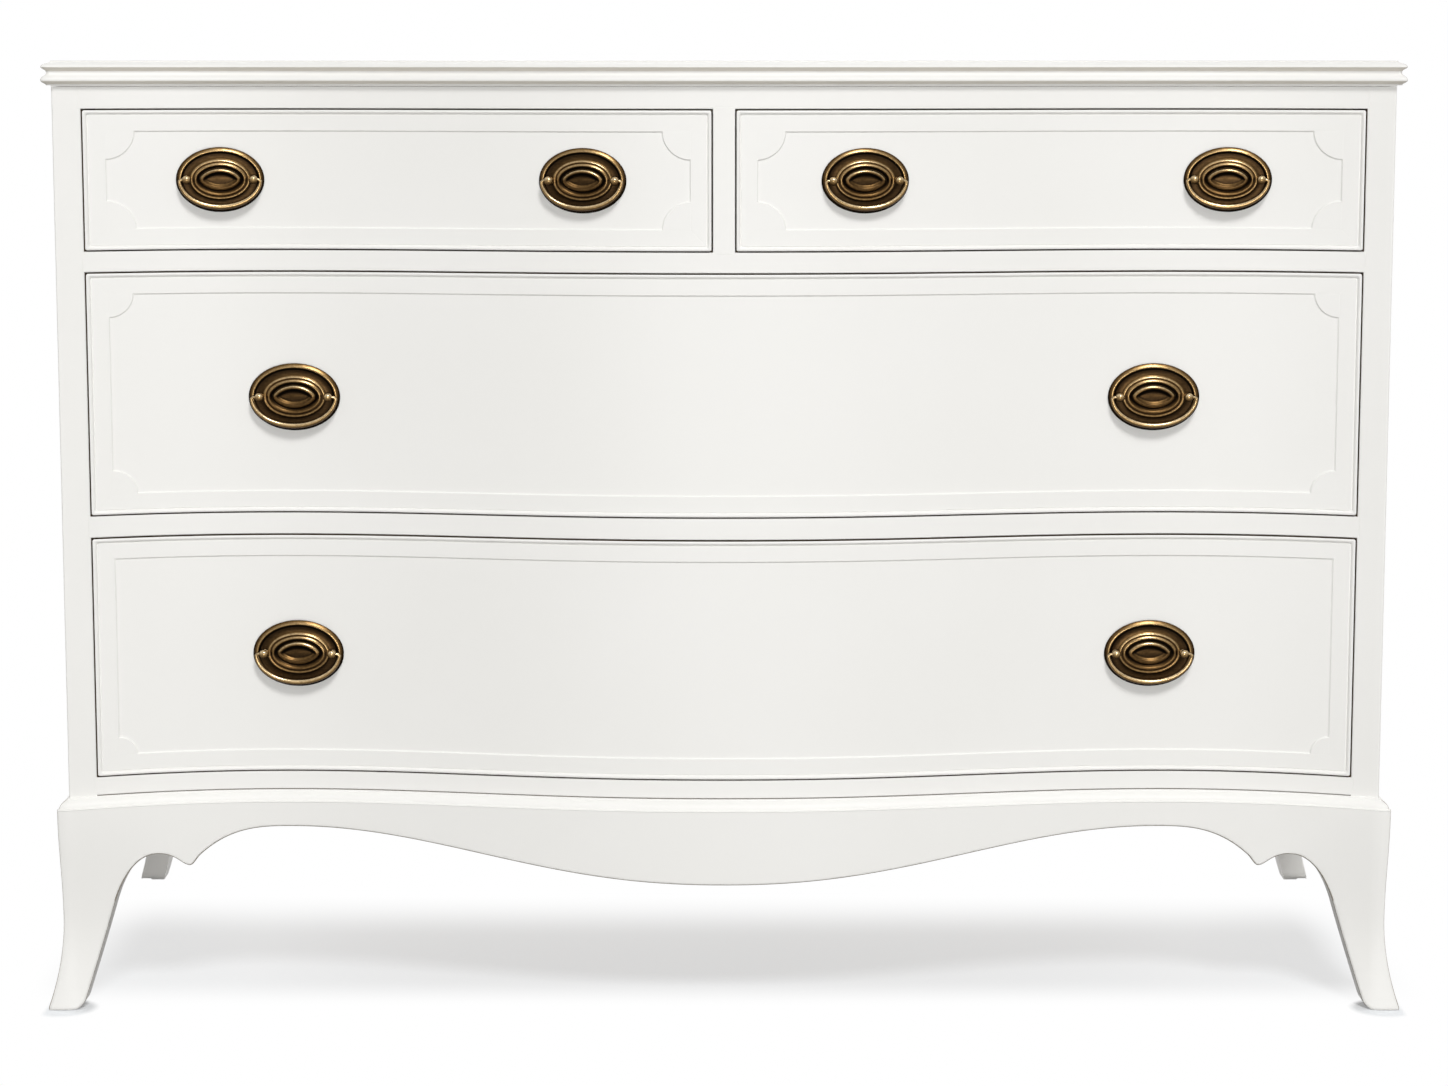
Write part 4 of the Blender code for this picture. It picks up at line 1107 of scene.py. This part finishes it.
# Pulls: an oval plate with raised rings, two ball posts, and a bail hung between the balls
pulls = {
    # millimetres in from the plate's edge, millimetres high, and the share rubbed bare
    "relief": [(0.0, 0.0, 0.0), (0.0, 0.5, 0.0), (0.4, 0.95, 0.06), (1.2, 1.45, 0.26),
               (2.0, 1.9, 0.38), (2.7, 2.3, 0.60), (3.3, 2.45, 0.75), (3.9, 2.2, 0.45),
               (4.5, 1.6, 0.05), (5.2, 1.15, 0.0), (6.0, 1.0, 0.18), (8.2, 0.95, 0.24),
               (10.2, 1.1, 0.22), (10.9, 1.4, 0.25), (11.5, 2.0, 0.50), (12.1, 2.45, 0.72),
               (12.8, 2.45, 0.50), (13.5, 2.1, 0.20), (14.1, 2.15, 0.25), (14.8, 2.8, 0.55),
               (15.6, 3.2, 0.62), (16.4, 3.15, 0.25), (17.3, 2.4, 0.05), (18.2, 1.4, 0.0),
               (18.7, 1.4, 0.10), (19.3, 2.2, 0.40), (20.1, 3.0, 0.62), (21.0, 3.4, 0.50),
               (21.9, 3.45, 0.25), (22.8, 3.1, 0.12), (23.7, 2.4, 0.15), (24.5, 1.8, 0.25),
               (25.1, 1.55, 0.15), (25.8, 1.5, 0.20), (27.4, 1.7, 0.26)],
    "reliefHalf": 29.2,         # half height of the plate that the relief was measured on
    "plateSize": {"small": (0.0792, 0.0584), "large": (0.0836, 0.0614)},
    "sides": 96,
    "lengthKept": 0.78,         # inner rings keep this share of what the plate is longer than tall
    "pointedFrom": 15.0,        # rings further in than this draw to a point at their ends
    "pointedOver": 8.0,
    "pointed": 0.5,
    "upperWear": 0.60,          # painted light: what faces up is made this much brighter
    "lowerWear": 0.35,          # painted shade: what faces down is made darker by this much
    "ballWear": 0.70,
    "bailWear": 0.74,
    "spacing": {"small": 0.0596, "large": 0.0626},
    "reach": 0.0068,            # from the plate's back to the middle of the balls
    "ballRadius": 0.0042,
    "ballStep": 0.14,           # a facet of the ball, in radians
    "turnSteps": 32,
    "stemRadius": 0.0024,
    # the end of the stem and its collar, in millimetres from the axis and from the plate's back
    "collar": [(2.4, 2.9), (3.268, 2.6), (3.686, 2.2), (3.8, 1.7), (3.8, 0.9), (0.0, 0.9)],
    "boreRadius": 0.0018,
    "boreSteps": 24,
    "boreTool": 0.01,           # length of the piece that cuts the bore
    "pinRadius": 0.0014,
    "pinInset": 0.0007,
    "pinStraight": 0.002,       # the pin is straight this far past the ball's middle
    "wireRadius": 0.0024,
    "wireSteps": 6,
    "bailInset": (0.0034, 0.0048),
    "bailDegrees": (3, 87, 6),  # start, end and step of the bend
    "elbow": 0.0016,
    "sharpDegrees": 50,
}


# Rings are ovals whose ends draw together towards the middle of the plate
def ovalRing(kind, inset):
    wide, tall = (size / 2 for size in pulls["plateSize"][kind])
    kept = pulls["lengthKept"]
    b = tall - inset
    a = b + (wide - tall) * (kept + (1 - kept) * (b / tall) ** 2)
    point = pulls["pointed"] * clamp((inset * 1000 - pulls["pointedFrom"]) / pulls["pointedOver"])
    ring = []
    for k in range(pulls["sides"]):
        turn = 2 * math.pi * k / pulls["sides"]
        narrow = 1 - point + point * abs(math.sin(turn))
        ring.append((a * math.cos(turn), b * math.sin(turn) * narrow))
    return ring


# The share of bare metal at each corner of a mesh, read by the brass, raised where the corner faces
# up and lowered where it faces down, as painted light and shade
def markWearAndPaintedLight(mesh, shares):
    wear = mesh.attributes.new("wear", "FLOAT", "POINT")
    for vertex, share, spot in zip(mesh.vertices, shares, wear.data):
        # painted light and shade: what faces up is made brighter, what faces down darker
        tilt = vertex.normal.z
        spot.value = clamp(share + tilt * (pulls["upperWear"] if tilt > 0 else pulls["lowerWear"]))
    setMaterials(mesh, [oldBrass])
    return mesh


def makePlateMesh(kind):
    grow = pulls["plateSize"][kind][1] / 2 / pulls["reliefHalf"]

    def build(bm):
        skin(bm, [[bm.verts.new((x, -height / 1000, z)) for x, z in ovalRing(kind, inset * grow)]
                  for inset, height, share in pulls["relief"]])

    shares = [share for inset, height, share in pulls["relief"] for k in range(pulls["sides"])]
    return markWearAndPaintedLight(meshFrom("plate", build), shares)


# Ball, stem and collar turned in one, then bored from its outer side for the bail's pin
def makeBallMesh(side):
    radius, reach, bore = pulls["ballRadius"], pulls["reach"], pulls["boreRadius"]
    neck = math.asin(pulls["stemRadius"] / radius)
    profile = [(0.0, reach + radius)]
    for turn in steps(0, math.pi - neck, pulls["ballStep"])[1:]:
        profile.append((radius * math.sin(turn), reach + radius * math.cos(turn)))
    profile += [(r / 1000, h / 1000) for r, h in pulls["collar"]]
    line = bpy.data.meshes.new("ball")
    line.from_pydata([(r, 0, h) for r, h in profile],
                     [(k, k + 1) for k in range(len(profile) - 1)], [])
    turned = newObject("ball", line)
    screw = turned.modifiers.new("turn", "SCREW")
    screw.steps = screw.render_steps = pulls["turnSteps"]
    screw.use_merge_vertices = True
    screw.merge_threshold = weldReach
    hole = meshFrom("hole", lambda bm: bmesh.ops.create_cone(
        bm, cap_ends=True, segments=pulls["boreSteps"], radius1=bore, radius2=bore,
        depth=pulls["boreTool"]))
    out = pulls["boreTool"] / 2 - pulls["pinInset"] - seatGap
    hole.transform(Matrix.Translation((side * out, 0, reach))
                   @ Matrix.Rotation(math.pi / 2, 4, "Y"))
    mesh = settleCut(turned, [newObject("holeTool", hole)])
    mesh.transform(Matrix.Rotation(math.radians(90), 4, "X"))
    return markWearAndPaintedLight(mesh, [pulls["ballWear"]] * len(mesh.vertices))


# The bail is thin at its pins and thickens towards the middle of its bend
def makeBailMesh(kind):
    half = pulls["spacing"][kind] / 2
    wide, deep = (size / 2 - inset
                  for size, inset in zip(pulls["plateSize"][kind], pulls["bailInset"]))
    pin, wire = pulls["pinRadius"], pulls["wireRadius"]
    right = [(x, 0.0, pin) for x in (half - pulls["pinInset"], half + pulls["pinStraight"],
                                     wide - pulls["elbow"])]
    for degrees in steps(*pulls["bailDegrees"]):
        a = math.radians(degrees)
        right.append((wide * math.cos(a), -deep * math.sin(a), pin + (wire - pin) * math.sin(a)))
    route = [(-x, z, r) for x, z, r in right] + [(0.0, -deep, wire)] + right[::-1]
    curve = bpy.data.curves.new("bail", "CURVE")
    curve.dimensions = "3D"
    curve.bevel_depth = 1.0                  # the radius of each point is then in metres
    curve.bevel_resolution = pulls["wireSteps"]
    curve.use_fill_caps = True
    spline = curve.splines.new("POLY")
    spline.points.add(len(route) - 1)
    for point, (x, z, radius) in zip(spline.points, route):
        point.co = (x, 0, z, 1)
        point.radius = radius
    mesh = settle(newObject("bail", curve))
    bm = bmesh.new()
    bm.from_mesh(mesh)
    bmesh.ops.remove_doubles(bm, verts=bm.verts, dist=1e-6)
    bm.to_mesh(mesh)
    bm.free()
    return markWearAndPaintedLight(mesh, [pulls["bailWear"]] * len(mesh.vertices))


# Every hinge of the frame is the pin of a bail, and places one pull
def makePulls():
    plates = {kind: makePlateMesh(kind) for kind in pulls["plateSize"]}
    bails = {kind: makeBailMesh(kind) for kind in pulls["plateSize"]}
    balls = {side: makeBallMesh(side) for side in (-1, 1)}
    for joint in frame["joints"]:
        if joint["type"] != "hinge":
            continue
        node = joint["child"]
        pull = node[:-len("_bail")]
        kind = "small" if pull.startswith("small") else "large"
        axis = Vector(joint["axis"])
        turn = math.atan2(-axis.y, -axis.x)
        hinge = Matrix.Translation(joint["pos_m"]) @ Matrix.Rotation(turn, 4, "Z")
        seat = hinge @ Matrix.Translation((0, pulls["reach"], 0))
        words = "".join(word.capitalize() for word in pull.split("_"))
        name = words[0].lower() + words[1:]
        out = pulls["spacing"][kind] / 2
        for label, mesh, across in (("Plate", plates[kind], 0), ("BallLeft", balls[-1], -out),
                                    ("BallRight", balls[1], out)):
            piece = newObject(name + label, mesh)
            piece.matrix_world = seat @ Matrix.Translation((across, 0, 0))
            smooth(piece, pulls["sharpDegrees"])
            place(piece, joint["parent"], [pull + "_plate"])
        bail = newObject(name + "Bail", bails[kind])
        bail.matrix_world = hinge
        bail.data.shade_smooth()
        place(bail, node, [node])
    print("pulls made")


makeCaseFront()
makeSidePanels()
makeTop()
makeBase()
makeBaseMoulding()
makeDrawers()
dressInside()
makePulls()

# Floor, light and camera
studio = {
    "floorSize": 60,
    "floorColour": "#8C8B89",    # what the floor throws back as light
    "floorRoughness": 0.9,
    "floorShine": 0.1,
    "floorSeen": "#F0F3F6",      # what the eye sees of it, mixed with pure white
    "shadowShare": 0.36,         # how much of the floor's shading shows under the dresser
    "shadowBack": (0.18, 0.00),  # the shadow fades in between these places
    "shadowFront": (-0.245, -0.15),
    "shadowSide": (0.66, 0.57),
    "toeShare": 0.78,            # and under the front toes
    "toePlace": (0.607, -0.249),
    "toeReach": (0.034, 0.023),
    "toeSide": (0.6255, 0.6195),
    "ambient": 0.20,
    "lamps": {
        # place, size, power, and where it points
        "keyLight": ((1.3, -6.1, 7.3), 2.4, 458.0, (0, -0.24, 0.5)),
        "fillLight": ((0.15, -4.0, 0.3), 1.3, 67.5, (0, -0.24, 0.35)),
        "leftLight": ((-4.2, 1.6, 2.4), 2.0, 74.0, (0, 0, 0.5)),
        "rightLight": ((4.2, 1.6, 2.4), 2.0, 62.0, (0, 0, 0.5)),
        "backLight": ((0.0, 4.0, 3.0), 2.2, 85.0, (0, 0.2, 0.4)),
    },
}


# 1 for what the camera and the reflections see, 0 for light that falls on things
def seenRays(tree):
    rays = addNode(tree, "LightPath").outputs
    seen = rays["Is Camera Ray"]
    for kind in ("Is Glossy Ray", "Is Transmission Ray"):
        seen = addNode(tree, "Math", {"operation": "MAXIMUM"}, {0: seen, 1: rays[kind]})
    return seen


# The floor is seen as plain white, with a share of its true shading under the dresser and its toes
def makeFloor():
    floor = newObject("floor", meshFrom("floor", lambda bm: bmesh.ops.create_grid(
        bm, x_segments=1, y_segments=1, size=studio["floorSize"])))
    material, tree, shader = newMaterial("paleFloor", studio["floorColour"])
    fillInputs(shader, {"Base Color": colour(studio["floorColour"]),
                        "Roughness": studio["floorRoughness"],
                        "Specular IOR Level": studio["floorShine"]})
    here = addNode(tree, "TexCoord").outputs["Object"]
    parts = addNode(tree, "SeparateXYZ", {}, {"Vector": here})
    back = parts.outputs["Y"]
    across = addNode(tree, "Math", {"operation": "ABSOLUTE"}, {0: parts.outputs["X"]})
    spot = addNode(tree, "CombineXYZ", {}, {"X": across, "Y": back})
    fromToe = addNode(tree, "VectorMath", {"operation": "DISTANCE"}, {
        0: spot, 1: (*studio["toePlace"], 0)}).outputs["Value"]
    shades = []
    for share, edges in (
            ("shadowShare", ((back, "shadowBack"), (back, "shadowFront"), (across, "shadowSide"))),
            ("toeShare", ((fromToe, "toeReach"), (across, "toeSide")))):
        shade = studio[share]
        for value, edge in edges:
            start, end = studio[edge]
            fade = addNode(tree, "MapRange", {"interpolation_type": "SMOOTHSTEP"}, {
                "Value": value, "From Min": start, "From Max": end})
            shade = addNode(tree, "Math", {"operation": "MULTIPLY"}, {0: shade, 1: fade})
        shades.append(shade)
    shading = addNode(tree, "Math", {"operation": "MAXIMUM"}, {0: shades[0], 1: shades[1]})
    pale = addNode(tree, "BsdfDiffuse", {}, {"Color": colour(studio["floorSeen"])})
    white = addNode(tree, "Emission", {}, {"Color": (1, 1, 1, 1)})
    # a Mix Shader takes its share in socket 0 and its two shaders in 1 and 2
    seen = addNode(tree, "MixShader", {}, {0: shading, 1: white, 2: pale})
    whole = addNode(tree, "MixShader", {}, {0: seenRays(tree), 1: shader, 2: seen})
    fillInputs(tree.nodes["Material Output"], {"Surface": whole})
    setMaterials(floor.data, [material])


# A white world for the eye, and a dimmer one as light
def makeWorld():
    world = bpy.data.worlds.new("studio")
    bpy.context.scene.world = world
    world.use_nodes = True
    tree = world.node_tree
    strength = addNode(tree, "MapRange", {}, {
        "Value": seenRays(tree), "To Min": studio["ambient"], "To Max": 1.0})
    fillInputs(tree.nodes["Background"], {"Color": (1, 1, 1, 1), "Strength": strength})


def makeLamps():
    for name, (spot, size, power, aim) in studio["lamps"].items():
        lamp = bpy.data.lights.new(name, "AREA")
        lamp.energy = power
        lamp.shape = "DISK"
        lamp.size = size
        holder = newObject(name, lamp)
        holder.location = spot
        holder.rotation_euler = (Vector(aim) - Vector(spot)).to_track_quat("-Z", "Y").to_euler()
        holder.visible_camera = False


# The camera stands level with the top and looks slightly down, as in the photograph
cameraSettings = {
    "lens": 83.81,               # in millimetres, as the sensor
    "sensorWidth": 36.0,
    "distance": 3.021,           # in front of the middle of the case's front
    "height": 0.864,
    "tiltDegrees": 7.428,
    "shiftY": -0.0295,
}


def makeCamera():
    camera = bpy.data.cameras.new("camera")
    camera.lens = cameraSettings["lens"]
    camera.sensor_width = cameraSettings["sensorWidth"]
    camera.shift_y = cameraSettings["shiftY"]
    holder = newObject("camera", camera)
    holder.location = (0, frontLine - cameraSettings["distance"], cameraSettings["height"])
    holder.rotation_euler = (math.radians(90 - cameraSettings["tiltDegrees"]), 0, 0)
    bpy.context.scene.camera = holder


makeFloor()
makeWorld()
makeLamps()
makeCamera()
bpy.context.scene.view_settings.view_transform = "Standard"
print("studio made")
